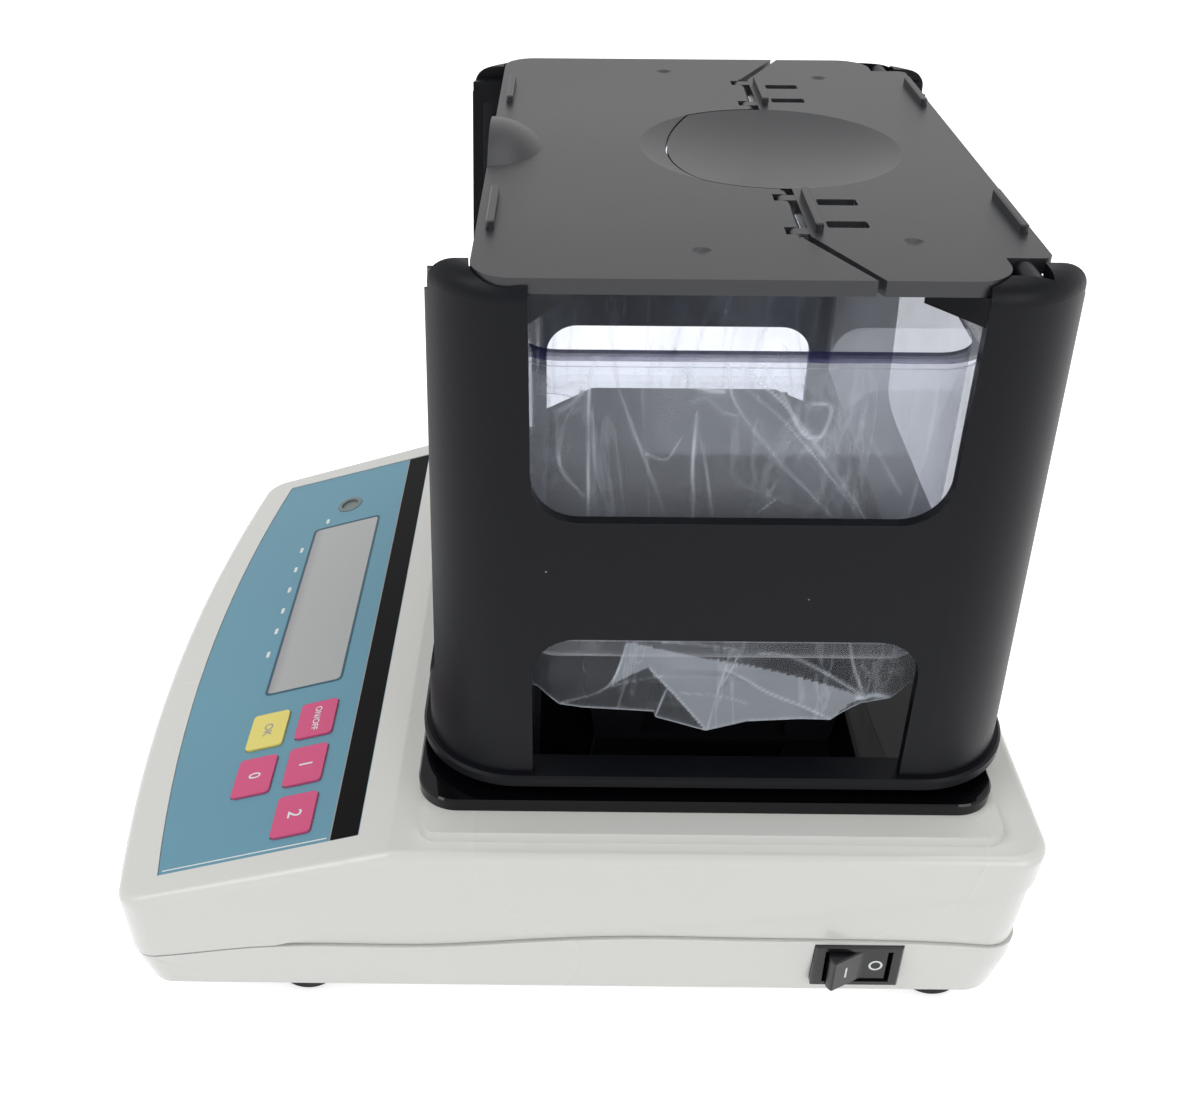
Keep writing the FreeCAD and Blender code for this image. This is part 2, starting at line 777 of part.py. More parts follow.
def tower_form(inset, low, high):
    return leaning_prism(-1, inset, low, high).common(leaning_prism(1, inset, low, high))


# One corner's shelf under the lid, with the diagonal edge that shows in the side windows
def corner_shelf(front):
    sign = -1 if front else 1
    window = window_front if front else window_rear
    wall = tower_centre_y + sign * (tower_top_half_length - tower_wall / 2)
    reach = window - sign * gusset_reach
    side = tower_half_width - tower_wall / 2
    inner = side - gusset_inset if front else ear_inner
    points = [(side, window), (side, wall), (inner, wall), (inner, reach)]
    return plan_prism(points, shelf_top - gusset_thick, shelf_top)


def make_tower():
    outer = tower_form(0, flange_top - overrun, tower_top)
    outer = outer.makeFillet(tower_rim_fillet, [e for e in outer.Edges
                                                if e.BoundBox.ZMin > tower_top - seat_gap])
    inner = tower_form(tower_wall, flange_bottom - overrun, tower_top - cap_thick)
    walls = outer.cut(inner)
    flange = Part.Face(rounded_wire(-tower_half_width - flange_reach, tower_half_width + flange_reach,
                                    tower_centre_y - tower_foot_half_length - flange_reach,
                                    tower_centre_y + tower_foot_half_length + flange_reach,
                                    flange_bottom, tower_radius + flange_reach))
    flange = flange.extrude(Vector(0, 0, flange_thick))
    flange = flange.makeChamfer(flange_reach / 3, [e for e in flange.Edges
                                                   if e.BoundBox.ZLength < seat_gap])
    rim = Part.Face(tower_wire(tower_foot_half_length, plate_top, foot_rim_inset))
    rim = rim.extrude(Vector(0, 0, foot_rim_height + flange_thick))
    opening = Part.Face(tower_wire(tower_foot_half_length, plate_top - overrun,
                                   foot_rim_inset + tower_wall))
    opening = opening.extrude(Vector(0, 0, 2 * overrun + foot_rim_height + flange_thick))
    tower = join([walls, flange, rim]).cut(opening)
    far = tower_half_width + flange_reach + overrun
    cuts = [side_window(window_front, window_rear, upper_sill, tower_top + 2 * window_radius,
                        window_radius, -far, far),
            side_window(window_front, window_rear, flange_top - 2 * window_radius, lower_window_top,
                        window_radius, -far, far).common(
                block(-far, far, window_front - far, window_rear + far, flange_top, tower_top)),
            block(-cap_end, cap_end, tower_centre_y - 2 * far, tower_centre_y + 2 * far,
                  tower_top - cap_thick - overrun, tower_top + overrun)]
    plate = rounded_plate(-front_window_half, front_window_half, front_sill,
                          tower_top + 2 * window_radius, -2 * far, 2 * far, window_radius)
    plate.rotate(Vector(0, 0, 0), along_x, 90)
    cuts.append(plate)
    cuts.append(rounded_plate(-lid_half_width - lid_pocket_gap, lid_half_width + lid_pocket_gap,
                              lid_front - lid_pocket_gap, shoulder_y + lid_pocket_gap,
                              lid_bottom - rest_gap, tower_top + overrun, lid_corner_radius))
    # The pivot recess in each rear post
    cuts.append(block(-ear_outer, ear_outer, shoulder_y - lid_corner_radius / 4,
                      rear_axis_y + ear_half_depth, lid_bottom - rest_gap, tower_top + overrun))
    tower = tower.cut(Part.makeCompound(cuts[:2])).cut(Part.makeCompound(cuts[2:]))
    shelves = both_sides([corner_shelf(True), corner_shelf(False)])
    reach = tower_form(tower_wall / 2, flange_top, tower_top)
    shelves = [shelf.common(reach) for shelf in shelves]
    ears = []
    foot = rear_axis_z - ear_foot_drop
    ear = block(ear_inner, ear_outer, rear_axis_y - ear_half_depth, rear_axis_y + ear_half_depth,
                foot, rear_axis_z)
    ears.append(ear.fuse(rod(rear_barrel_radius - slip_gap, ear_outer - ear_inner,
                             Vector(ear_inner, rear_axis_y, rear_axis_z), along_x)))
    tower = join([tower] + shelves + both_sides(ears))
    bores = []
    for side in (-1, 1):
        bores.append(rod(rear_pin_radius + running_gap, rear_pin_outer - ear_inner + 2 * overrun,
                         Vector(side * (ear_inner - overrun), rear_axis_y, rear_axis_z),
                         along_x * side))
    return tower.cut(Part.makeCompound(bores))


def lid_plan(low, high):
    wide = rounded_plate(-lid_half_width, lid_half_width, lid_front, shoulder_y, low, high,
                         lid_corner_radius)
    tab = rounded_plate(-tab_half_width, tab_half_width, split_y, lid_rear, low, high, tab_radius)
    return join([wide, tab])


def dish_ball():
    ball = (dish_radius ** 2 + dish_depth ** 2) / (2 * dish_depth)
    return ball, Vector(0, dish_centre_y, tower_top - dish_depth + ball)


# The rear leaf's plan: behind the split, with the dish's tongue reaching forward
def rear_region(gap, diagonal, tongue, low, high):
    y = split_y + gap / 2
    skew = diagonal / 2
    far = lid_half_width + overrun
    fall = (split_end_y - split_y) / (lid_half_width - split_knee_x)
    knee = split_knee_x - skew
    end = split_y + (far - knee) * fall + skew
    points = [(-far, end), (-knee, y), (knee, y), (far, end), (far, lid_rear + overrun),
              (-far, lid_rear + overrun)]
    region = plan_prism(points, low, high)
    disc = rod(dish_radius - tongue / 2, high - low, Vector(0, dish_centre_y, low), up)
    arc = rod(tongue_radius - tongue / 2, high - low,
              Vector(0, tongue_front + tongue_radius, low), up)
    front = block(-far, far, lid_front, y + overrun, low, high)
    return join([region, disc.common(arc).common(front)])


def lid_bars(places):
    bars = []
    for y in places:
        bar = rounded_plate(bar_inner, bar_outer, y - bar_width / 2, y + bar_width / 2,
                            tower_top - overrun / 2, tower_top + bar_rise, bar_width * 0.45)
        bars.append(bar.makeChamfer(bar_width / 6, [e for e in bar.Edges
                                                   if e.BoundBox.ZMin > tower_top + bar_rise / 2]))
    return both_sides(bars)


def dimples(place):
    ball = (dimple_radius ** 2 + dimple_depth ** 2) / (2 * dimple_depth)
    return both_sides([Part.makeSphere(ball, Vector(place[0], place[1],
                                                    tower_top - dimple_depth + ball))])


def dish_shell():
    ball, centre = dish_ball()
    cup = Part.makeSphere(ball + dish_skin, centre)
    limit = rod(dish_radius + dish_skin, lid_thick + dish_depth,
                Vector(0, dish_centre_y, lid_bottom - dish_depth), up)
    return cup.common(limit)


def lug_blocks(gap):
    blocks = []
    for x in (lug_inner, lug_outer):
        blocks.append(block(x - gap, x + lug_width + gap,
                            middle_axis_y - knuckle_radius - 2 * gap, split_y + 2 * split_gap,
                            lid_bottom - overrun, tower_top + overrun))
    return both_sides(blocks)


def make_rear_lid():
    leaf = lid_plan(lid_bottom, tower_top)
    high = tower_top + overrun
    low = lid_bottom - 2 * dish_depth
    leaf = join([leaf, dish_shell()])
    ball, centre = dish_ball()
    leaf = leaf.cut(Part.makeSphere(ball, centre))
    leaf = leaf.common(rear_region(split_gap, diagonal_gap, tongue_gap, low, high))
    lugs = []
    for x in (lug_inner, lug_outer):
        eye = rod(knuckle_radius, lug_width, Vector(x, middle_axis_y, middle_axis_z), along_x)
        arm = block(x, x + lug_width, middle_axis_y, split_y + 2 * split_gap,
                    middle_axis_z - knuckle_radius, middle_axis_z + knuckle_radius)
        lugs.append(eye.fuse(arm))
    barrel = rod(rear_barrel_radius - slip_gap, tab_half_width - rear_pin_inner + overrun,
                 Vector(rear_pin_inner - overrun, rear_axis_y, rear_axis_z), along_x)
    skirts = skirt_walls(split_y + 3 * split_gap, shoulder_y - 3 * slip_gap)
    leaf = join([leaf] + lid_bars([middle_bar_y, rear_bar_y]) + both_sides(lugs)
                + both_sides([barrel]) + skirts)
    cuts = dimples(rear_dimple)
    slots = [rounded_plate(x - slot_half_width, x + slot_half_width, slot_front, slot_rear,
                           lid_bottom - overrun, high, slot_half_width / 3) for x in slot_places]
    cuts += both_sides(slots)
    pin = rod(middle_pin_radius + running_gap, lug_outer + lug_width - lug_inner + 2 * overrun,
              Vector(lug_inner - overrun, middle_axis_y, middle_axis_z), along_x)
    cuts += both_sides([pin])
    hold = rod(rear_pin_radius, rear_pin_outer - rear_pin_inner,
               Vector(rear_pin_inner, rear_axis_y, rear_axis_z), along_x)
    cuts += both_sides([hold])
    return leaf.cut(Part.makeCompound(cuts))


def skirt_walls(y0, y1):
    x = lid_half_width - lid_skirt_inset
    wall = block(x - lid_skirt_wall, x, y0, y1, lid_bottom - lid_skirt_depth,
                 lid_bottom + overrun)
    return both_sides([wall])


def make_hood():
    ball = (hood_half_width ** 2 + hood_rise ** 2) / (2 * hood_rise)
    centre = Vector(0, lid_front, tower_top + hood_rise - ball)
    dome = Part.makeSphere(ball, centre)
    hollow = Part.makeSphere(ball - hood_wall, centre)
    squash = FreeCAD.Matrix()
    squash.move(Vector(0, -lid_front, 0))
    squash.scale(Vector(1, hood_length / hood_half_width, 1))
    squash.move(Vector(0, lid_front, 0))
    keep = block(-hood_half_width - overrun, hood_half_width + overrun, lid_front,
                 lid_front + hood_length + overrun, lid_bottom, tower_top + 2 * hood_rise)
    return dome.transformGeometry(squash).common(keep), hollow.transformGeometry(squash)


def make_front_lid():
    high = tower_top + overrun
    low = lid_bottom - 2 * dish_depth
    dome, hollow = make_hood()
    leaf = join([lid_plan(lid_bottom, tower_top), dish_shell(), dome]).cut(hollow)
    ball, centre = dish_ball()
    leaf = leaf.cut(Part.makeSphere(ball, centre))
    leaf = leaf.cut(rear_region(-split_gap / 4, -diagonal_gap, -tongue_gap, low, high))
    # Round the straight rear edge about the hinge axis
    far = split_knee_x + overrun
    strip = block(dish_radius - overrun, split_knee_x, middle_axis_y, split_y + split_gap,
                  lid_bottom - overrun, high)
    leaf = leaf.cut(Part.makeCompound(both_sides([strip])))
    knuckle = rod(knuckle_radius, split_knee_x - dish_radius - 2 * overrun,
                  Vector(dish_radius + overrun, middle_axis_y, middle_axis_z), along_x)
    skirts = skirt_walls(window_front + gusset_reach + overrun, split_y - 3 * split_gap)
    leaf = join([leaf] + both_sides([knuckle]) + lid_bars([front_bar_y]) + skirts)
    cuts = dimples(front_dimple) + lug_blocks(lug_gap)
    pin = rod(middle_pin_radius + running_gap, far - lug_inner,
              Vector(lug_inner, middle_axis_y, middle_axis_z), along_x)
    return leaf.cut(Part.makeCompound(cuts + both_sides([pin])))


def make_middle_pins():
    pin = rod(middle_pin_radius, lug_outer + lug_width - lug_inner,
              Vector(lug_inner, middle_axis_y, middle_axis_z), along_x)
    return Part.makeCompound(both_sides([pin]))


def make_rear_pins():
    pin = rod(rear_pin_radius, rear_pin_outer - rear_pin_inner,
              Vector(rear_pin_inner, rear_axis_y, rear_axis_z), along_x)
    return Part.makeCompound(both_sides([pin]))


def make_tank():
    body = rounded_plate(-tank_half_width, tank_half_width, tank_front, tank_rear,
                         tank_bottom, tank_top, tank_radius)
    low = [e for e in body.Edges if e.BoundBox.ZMax < tank_bottom + overrun]
    body = body.makeFillet(tank_radius * 0.6, low)
    rim = rounded_plate(-tank_half_width - tank_rim_reach, tank_half_width + tank_rim_reach,
                        tank_front - tank_rim_reach, tank_rear + tank_rim_reach,
                        tank_top - tank_rim_height, tank_top, tank_radius + tank_rim_reach)
    rim = rim.makeChamfer(tank_rim_reach / 3, [e for e in rim.Edges if e.BoundBox.ZLength < overrun / 4])
    hollow = rounded_plate(-tank_half_width + tank_wall, tank_half_width - tank_wall,
                           tank_front + tank_wall, tank_rear - tank_wall, tank_bottom + tank_wall,
                           tank_top + overrun, tank_radius - tank_wall)
    low = [e for e in hollow.Edges if e.BoundBox.ZMax < tank_bottom + tank_wall + overrun / 2]
    hollow = hollow.makeChamfer(tank_radius * 0.6 - tank_wall, low)
    return join([body, rim]).cut(hollow)


def stand_plan(inset, low, high):
    half = stand_half_width - inset
    y0 = stand_front + inset
    y1 = stand_rear - inset
    chamfer = stand_chamfer - inset * 0.6
    points = [(-half + chamfer, y0), (half - chamfer, y0), (half, y0 + chamfer), (half, y1 - chamfer),
              (half - chamfer, y1), (-half + chamfer, y1), (-half, y1 - chamfer), (-half, y0 + chamfer)]
    return plan_prism(points, low, high)


def make_stand():
    top = tank_bottom - seat_gap
    deck = stand_plan(0, top - stand_thick, top)
    legs = []
    for y in (stand_front + stand_chamfer, stand_rear - stand_chamfer - leg_depth):
        x = stand_half_width
        legs.append(side_prism([(y, plate_top), (y + leg_depth, plate_top),
                                (y + leg_depth * 1.4, top - overrun),
                                (y - leg_depth * 0.4, top - overrun)], x - leg_width, x))
    web = block(stand_half_width - leg_width, stand_half_width, stand_front + stand_chamfer,
                stand_rear - stand_chamfer, top - 3 * stand_thick, top - overrun)
    shoe = block(stand_half_width - 2 * leg_width, stand_half_width, stand_front + stand_chamfer,
                 stand_rear - stand_chamfer, plate_top, plate_top + stand_thick / 2)
    ribs = [block(-stand_half_width + leg_width, stand_half_width - leg_width, y, y + leg_width / 2,
                  top - 2 * stand_thick, top - overrun)
            for y in (stand_front + stand_chamfer, stand_rear - stand_chamfer - leg_width)]
    return join([deck] + both_sides(legs + [web, shoe]) + ribs)


# The film hangs round the tank with a wavy hem, closed only against its rim
def make_bag():
    outer = rounded_plate(-tank_half_width - bag_gap - bag_skin, tank_half_width + bag_gap + bag_skin,
                          tank_front - bag_gap - bag_skin, tank_rear + bag_gap + bag_skin,
                          bag_hem - bag_hem_swing, tank_top - tank_rim_height, tank_radius + bag_gap)
    inner = rounded_plate(-tank_half_width - bag_gap, tank_half_width + bag_gap,
                          tank_front - bag_gap, tank_rear + bag_gap,
                          bag_hem - 2 * bag_hem_swing, tank_top, tank_radius + bag_gap - bag_skin)
    film = outer.cut(inner)
    hem_shares = (0.9, 0.25, 0.0, 0.2, 0.75, 1.0, 0.5, 0.15, 0.8)
    span = tank_rear - tank_front + 4 * overrun
    step = span / (len(hem_shares) - 1)
    start = tank_front - 2 * overrun
    low = bag_hem - 2 * bag_hem_swing
    points = [(start + i * step, bag_hem - bag_hem_swing + 2 * bag_hem_swing * share)
              for i, share in enumerate(hem_shares)]
    half = tank_half_width + 3 * overrun
    trim = side_prism([(start, low)] + points + [(start + span, low)], -half, half)
    return film.cut(trim)


def make_switch_housing():
    wall_x = body_half_width - side_tuck * side_tuck_shares[3]
    face = wall_x + bezel_reach
    bezel = block(wall_x - swoosh_depth - seat_gap, face, switch_front, switch_rear, switch_low, switch_high)
    bezel = bezel.makeChamfer(bezel_reach / 3, [e for e in bezel.Edges if e.BoundBox.XMin > face - seat_gap])
    body = block(face - switch_depth, face - overrun / 2, switch_front + bezel_wall + seat_gap,
                 switch_rear - bezel_wall - seat_gap, switch_low + bezel_wall + seat_gap,
                 switch_high - bezel_wall - seat_gap)
    room = block(face - rocker_depth - 2 * overrun, face + overrun, rocker_front - rocker_gap,
                 rocker_rear + rocker_gap, rocker_low - slip_gap, rocker_high + slip_gap)
    tabs = []
    for y in (switch_front + 2 * terminal_half, switch_rear - 2 * terminal_half):
        tabs.append(block(face - switch_depth - terminal_length, face - switch_depth + overrun,
                          y - terminal_half, y + terminal_half,
                          (switch_low + switch_high - terminal_thick) / 2,
                          (switch_low + switch_high + terminal_thick) / 2))
    shell = join([bezel, body] + tabs).cut(room)
    pivot = rod(rocker_pivot_radius + running_gap,
                rocker_high - rocker_low + 2 * rocker_stub + 2 * running_gap,
                Vector(face - rocker_pivot_depth, (rocker_front + rocker_rear) / 2,
                       rocker_low - rocker_stub - running_gap), up)
    return shell.cut(pivot)


def make_rocker():
    face = body_half_width - side_tuck * side_tuck_shares[3] + bezel_reach
    middle = (rocker_front + rocker_rear) / 2
    flat = face - overrun / 2
    points = [(face - rocker_depth, middle - overrun * 2), (face - rocker_depth, middle + overrun * 2),
              (flat - overrun, rocker_rear), (flat, rocker_rear), (flat, middle + overrun),
              (face + rocker_tip, rocker_front + overrun), (face + rocker_tip * 0.6, rocker_front),
              (flat - overrun, rocker_front)]
    body = plan_prism(points, rocker_low, rocker_high)
    body = body.makeChamfer(overrun / 3, [e for e in body.Edges
                                          if e.BoundBox.XMin > flat - seat_gap])
    stub = rod(rocker_pivot_radius, rocker_high - rocker_low + 2 * rocker_stub,
               Vector(face - rocker_pivot_depth, middle, rocker_low - rocker_stub), up)
    return body.fuse(stub).removeSplitter()


cell_centre_y = tank_centre_y
cell_front = cell_centre_y - cell_overlap / 2
cell_x0 = -cell_overlap / 2


def make_cell():
    x1 = cell_x0 + cell_length
    half = cell_width / 2
    beam = block(cell_x0, x1, cell_centre_y - half, cell_centre_y + half, cell_bottom,
                 cell_bottom + cell_height)
    beam = beam.makeChamfer(overrun / 2, beam.Edges)
    mid_x = (cell_x0 + x1) / 2
    mid_z = cell_bottom + cell_height / 2
    cuts = []
    for side in (-1, 1):
        cuts.append(rod(cell_waist_radius, cell_width + 2 * overrun,
                        Vector(mid_x + side * cell_waist_offset, cell_centre_y - half - overrun, mid_z),
                        along_y))
    cuts.append(block(mid_x - cell_waist_offset, mid_x + cell_waist_offset,
                      cell_centre_y - half - overrun, cell_centre_y + half + overrun,
                      mid_z - cell_waist_radius / 3, mid_z + cell_waist_radius / 3))
    for x in cell_screw_xs():
        cuts.append(rod(cell_screw_radius + seat_gap, cell_height + 2 * overrun,
                        Vector(x, cell_centre_y, cell_bottom - overrun), up))
    return beam.cut(Part.makeCompound(cuts))


def cell_screw_xs():
    x1 = cell_x0 + cell_length
    middle = x1 - mount_length / 2
    return (middle - cell_screw_spacing / 2, middle + cell_screw_spacing / 2)


def make_cell_mount():
    x1 = cell_x0 + cell_length
    half = cell_width / 2
    low = body_bottom + housing_wall
    riser = block(x1 - mount_length, x1, cell_centre_y - half, cell_centre_y + half, low, cell_bottom)
    skirt = block(x1 - mount_length - mount_skirt, x1 + mount_skirt, cell_centre_y - half - mount_skirt,
                  cell_centre_y + half + mount_skirt, low, low + mount_skirt / 2)
    mount = join([riser, skirt])
    holes = [rod(cell_screw_radius, cell_screw_bite, Vector(x, cell_centre_y, cell_bottom - cell_screw_bite
                 + overrun), up) for x in cell_screw_xs()]
    return mount.cut(Part.makeCompound(holes))


def make_cell_screws():
    screws = []
    top = cell_bottom + cell_height
    for x in cell_screw_xs():
        head = rod(cell_screw_head_radius, cell_screw_head, Vector(x, cell_centre_y, top), up)
        socket = rod(cell_screw_radius * 0.8, cell_screw_head * 0.6,
                     Vector(x, cell_centre_y, top + cell_screw_head * 0.5), up)
        shank = rod(cell_screw_radius - running_gap, cell_height + cell_screw_bite - 2 * overrun,
                    Vector(x, cell_centre_y, cell_bottom - cell_screw_bite + 2 * overrun), up)
        screws.append(head.fuse(shank).removeSplitter().cut(socket))
    return Part.makeCompound(screws)


def pan_bottom():
    return plate_top + pan_lift


def make_carrier():
    top = cell_bottom + cell_height
    flange = rod(carrier_flange_radius - overrun, carrier_flange,
                 Vector(0, cell_centre_y, top), up)
    post = rod(carrier_radius, pan_bottom() - top, Vector(0, cell_centre_y, top), up)
    body = flange.fuse(post).removeSplitter()
    return body


def make_pan():
    low = pan_bottom()
    plate = rounded_plate(-pan_half_width, pan_half_width, cell_centre_y - pan_half_depth,
                          cell_centre_y + pan_half_depth, low, low + pan_thick, pan_radius)
    plate = plate.makeChamfer(pan_thick / 4, [e for e in plate.Edges if e.BoundBox.ZMin > low + seat_gap])
    collar = rod(carrier_radius + overrun, pan_thick / 2, Vector(0, cell_centre_y, low), up)
    return plate.fuse(collar).removeSplitter()


board_low = body_bottom + housing_wall + standoff_height


def make_main_board():
    x0 = main_board_centre_x - main_board_half_width
    x1 = main_board_centre_x + main_board_half_width
    y1 = main_board_front + main_board_length
    board = block(x0, x1, main_board_front, y1, board_low, board_low + main_board_thick)
    top = board_low + main_board_thick
    middle = (main_board_front + y1) / 2
    chip = block(main_board_centre_x - chip_half, main_board_centre_x + chip_half, middle - chip_half,
                 middle + chip_half, top - overrun / 4, top + chip_thick)
    plug = block(x1 - 2 * chip_half, x1 - overrun, middle - chip_half / 2, middle + chip_half / 2,
                 top - overrun / 4, top + 3 * chip_thick)
    cans = [rod(chip_half / 3, 4 * chip_thick, Vector(x0 + standoff_inset * 2, middle + side * chip_half,
                                                     top - overrun / 4), up) for side in (-1, 1)]
    return join([board, chip, plug] + cans)


def make_standoffs():
    posts = []
    x0 = main_board_centre_x - main_board_half_width + standoff_inset
    x1 = main_board_centre_x + main_board_half_width - standoff_inset
    for x in (x0, x1):
        for y in (main_board_front + standoff_inset,
                  main_board_front + main_board_length - standoff_inset):
            posts.append(rod(standoff_radius, standoff_height,
                             Vector(x, y, body_bottom + housing_wall), up))
    return Part.makeCompound(posts)


def rear_wall_at(z):
    level = (z - body_bottom) / body_span
    for i in range(len(height_shares) - 1):
        if height_shares[i] <= level <= height_shares[i + 1]:
            t = (level - height_shares[i]) / (height_shares[i + 1] - height_shares[i])
            share = rear_tuck_shares[i] + t * (rear_tuck_shares[i + 1] - rear_tuck_shares[i])
            return body_half_length - rear_tuck * share
    return body_half_length


def make_jack():
    y = rear_wall_at(jack_z) - swoosh_depth
    body = rod(jack_radius, jack_length, Vector(jack_x, y - jack_length, jack_z), along_y)
    nut = rod(jack_flange, housing_wall, Vector(jack_x, y - jack_length, jack_z), along_y)
    bore = rod(jack_bore_radius, jack_length, Vector(jack_x, y - jack_length + housing_wall, jack_z),
               along_y)
    pin = rod(jack_pin_radius, jack_length - housing_wall, Vector(jack_x, y - jack_length + overrun, jack_z),
              along_y)
    return join([body, nut]).cut(bore).fuse(pin)


def make_port():
    y = rear_wall_at(jack_z) - swoosh_depth
    plate = block(port_x - port_half_width, port_x + port_half_width, y - port_flange_thick - housing_wall,
                  y - housing_wall, jack_z - port_half_height, jack_z + port_half_height)
    w = port_shell_half_width
    h = port_shell_half_height
    outline = [(port_x - w, jack_z + h), (port_x + w, jack_z + h),
               (port_x + w - port_shell_slant, jack_z - h), (port_x - w + port_shell_slant, jack_z - h)]
    corners = [Vector(x, y - port_depth, z) for x, z in outline]
    shell = Part.Face(Part.makePolygon(corners + corners[:1])).extrude(Vector(0, port_depth, 0))
    scale = 1 - port_flange_thick / port_shell_half_height
    hollow = [Vector(port_x + (x - port_x) * scale, y - port_depth + 2 * housing_wall,
                     jack_z + (z - jack_z) * scale) for x, z in outline]
    room = Part.Face(Part.makePolygon(hollow + hollow[:1])).extrude(Vector(0, port_depth, 0))
    holes = [rod(port_screw_radius, port_depth, Vector(port_x + side * port_screw_x,
                                                       y - port_depth, jack_z), along_y)
             for side in (-1, 1)]
    return join([plate, shell]).cut(Part.makeCompound([room] + holes))


def save(name, shape):
    shape.exportStep("parts/" + name + ".step")


top_shell, bottom_shell = housing_shells()
save("top_housing", finish_top_housing(top_shell))
save("bottom_housing", finish_bottom_housing(bottom_shell))
for place in foot_places:
    save("foot_" + place, make_foot(place))
save("housing_screws", make_housing_screws())
save("keypad_overlay", make_overlay())
save("lcd_window", make_lcd_window())
save("lcd_module", make_lcd_module())
save("display_board", make_display_board())
for key in key_places:
    save("key_" + key, make_key(key))
save("level_vial", make_vial())
save("base_plate", make_base_plate())
save("wind_shield_frame", make_tower())
save("rear_lid", make_rear_lid())
save("front_lid", make_front_lid())
save("middle_hinge_pins", make_middle_pins())
save("rear_hinge_pins", make_rear_pins())
save("water_tank", make_tank())
save("tank_stand", make_stand())
save("tank_bag", make_bag())
save("switch_housing", make_switch_housing())
save("switch_rocker", make_rocker())
save("load_cell", make_cell())
save("load_cell_mount", make_cell_mount())
save("load_cell_screws", make_cell_screws())
save("pan_carrier", make_carrier())
save("weighing_pan", make_pan())
save("main_board", make_main_board())
save("board_standoffs", make_standoffs())
save("dc_jack", make_jack())
save("serial_port", make_port())
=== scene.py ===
import bpy
import math
import numpy as np
from mathutils import Matrix, Vector


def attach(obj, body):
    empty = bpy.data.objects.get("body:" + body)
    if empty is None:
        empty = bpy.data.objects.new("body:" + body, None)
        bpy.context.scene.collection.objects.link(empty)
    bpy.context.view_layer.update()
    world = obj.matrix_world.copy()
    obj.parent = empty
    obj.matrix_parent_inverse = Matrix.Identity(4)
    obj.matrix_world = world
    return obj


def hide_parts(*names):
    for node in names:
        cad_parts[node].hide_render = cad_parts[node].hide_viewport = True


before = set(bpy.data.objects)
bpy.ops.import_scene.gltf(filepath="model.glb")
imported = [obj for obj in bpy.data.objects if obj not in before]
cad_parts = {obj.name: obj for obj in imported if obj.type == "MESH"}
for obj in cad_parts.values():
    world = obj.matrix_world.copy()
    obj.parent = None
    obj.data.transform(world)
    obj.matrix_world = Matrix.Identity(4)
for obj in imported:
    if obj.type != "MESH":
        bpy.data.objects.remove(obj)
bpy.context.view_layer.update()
scene = bpy.context.scene
scene.view_settings.view_transform = "Standard"
mm = 0.001

# the camera was found by fitting the housing's corners; lengths in metres, picture sizes in pixels
cameraPlace = {"place": (0.29620, 0.00259, 0.27636), "right": (-0.008403, 0.999950, 0.005374),
               "up": (-0.553012, -0.009125, 0.833123), "focalPixels": 1318.28,
               "middle": (564.90, 541.91), "photo": (1200, 1111), "sensor": 36.0}


def makeCamera(v):
    data = bpy.data.cameras.new("photoCamera")
    camera = bpy.data.objects.new("photoCamera", data)
    scene.collection.objects.link(camera)
    right = Vector(v["right"]).normalized()
    up = Vector(v["up"])
    up = (up - right * up.dot(right)).normalized()
    back = right.cross(up)
    turn = Matrix((right, up, back)).transposed().to_4x4()
    camera.matrix_world = Matrix.Translation(v["place"]) @ turn
    width, height = v["photo"]
    data.sensor_width = v["sensor"]
    data.lens = v["focalPixels"] / width * v["sensor"]
    data.shift_x = (width / 2 - v["middle"][0]) / width
    data.shift_y = (v["middle"][1] - height / 2) / width
    data.clip_start = 0.01
    data.clip_end = 20
    scene.camera = camera
    print("camera set")


makeCamera(cameraPlace)


class Wire:
    # one output socket, with the usual sums written as operators

    def __init__(self, tree, socket):
        self.tree = tree
        self.socket = socket

    def maths(self, kind, *values):
        node = self.tree.nodes.new("ShaderNodeMath")
        node.operation = kind
        for slot, value in zip(node.inputs, values):
            if isinstance(value, Wire):
                self.tree.links.new(value.socket, slot)
            else:
                slot.default_value = value
        return Wire(self.tree, node.outputs[0])

    def __add__(self, other):
        return self.maths("ADD", self, other)

    def __radd__(self, other):
        return self.maths("ADD", other, self)

    def __sub__(self, other):
        return self.maths("SUBTRACT", self, other)

    def __rsub__(self, other):
        return self.maths("SUBTRACT", other, self)

    def __mul__(self, other):
        return self.maths("MULTIPLY", self, other)

    def __rmul__(self, other):
        return self.maths("MULTIPLY", other, self)

    def above(self, edge):
        return self.maths("GREATER_THAN", self, edge)

    def below(self, edge):
        return self.maths("LESS_THAN", self, edge)

    def sine(self):
        return self.maths("SINE", self)

    def size(self):
        return self.maths("ABSOLUTE", self)

    def most(self, other):
        return self.maths("MAXIMUM", self, other)

    def least(self, other):
        return self.maths("MINIMUM", self, other)

    # smooth step: bottom below low, top above high
    def between(self, low, high, bottom=0.0, top=1.0):
        node = self.tree.nodes.new("ShaderNodeMapRange")
        node.interpolation_type = "SMOOTHSTEP"
        self.tree.links.new(self.socket, node.inputs["Value"])
        for name, value in (("From Min", low), ("From Max", high), ("To Min", bottom), ("To Max", top)):
            node.inputs[name].default_value = value
        return Wire(self.tree, node.outputs[0])


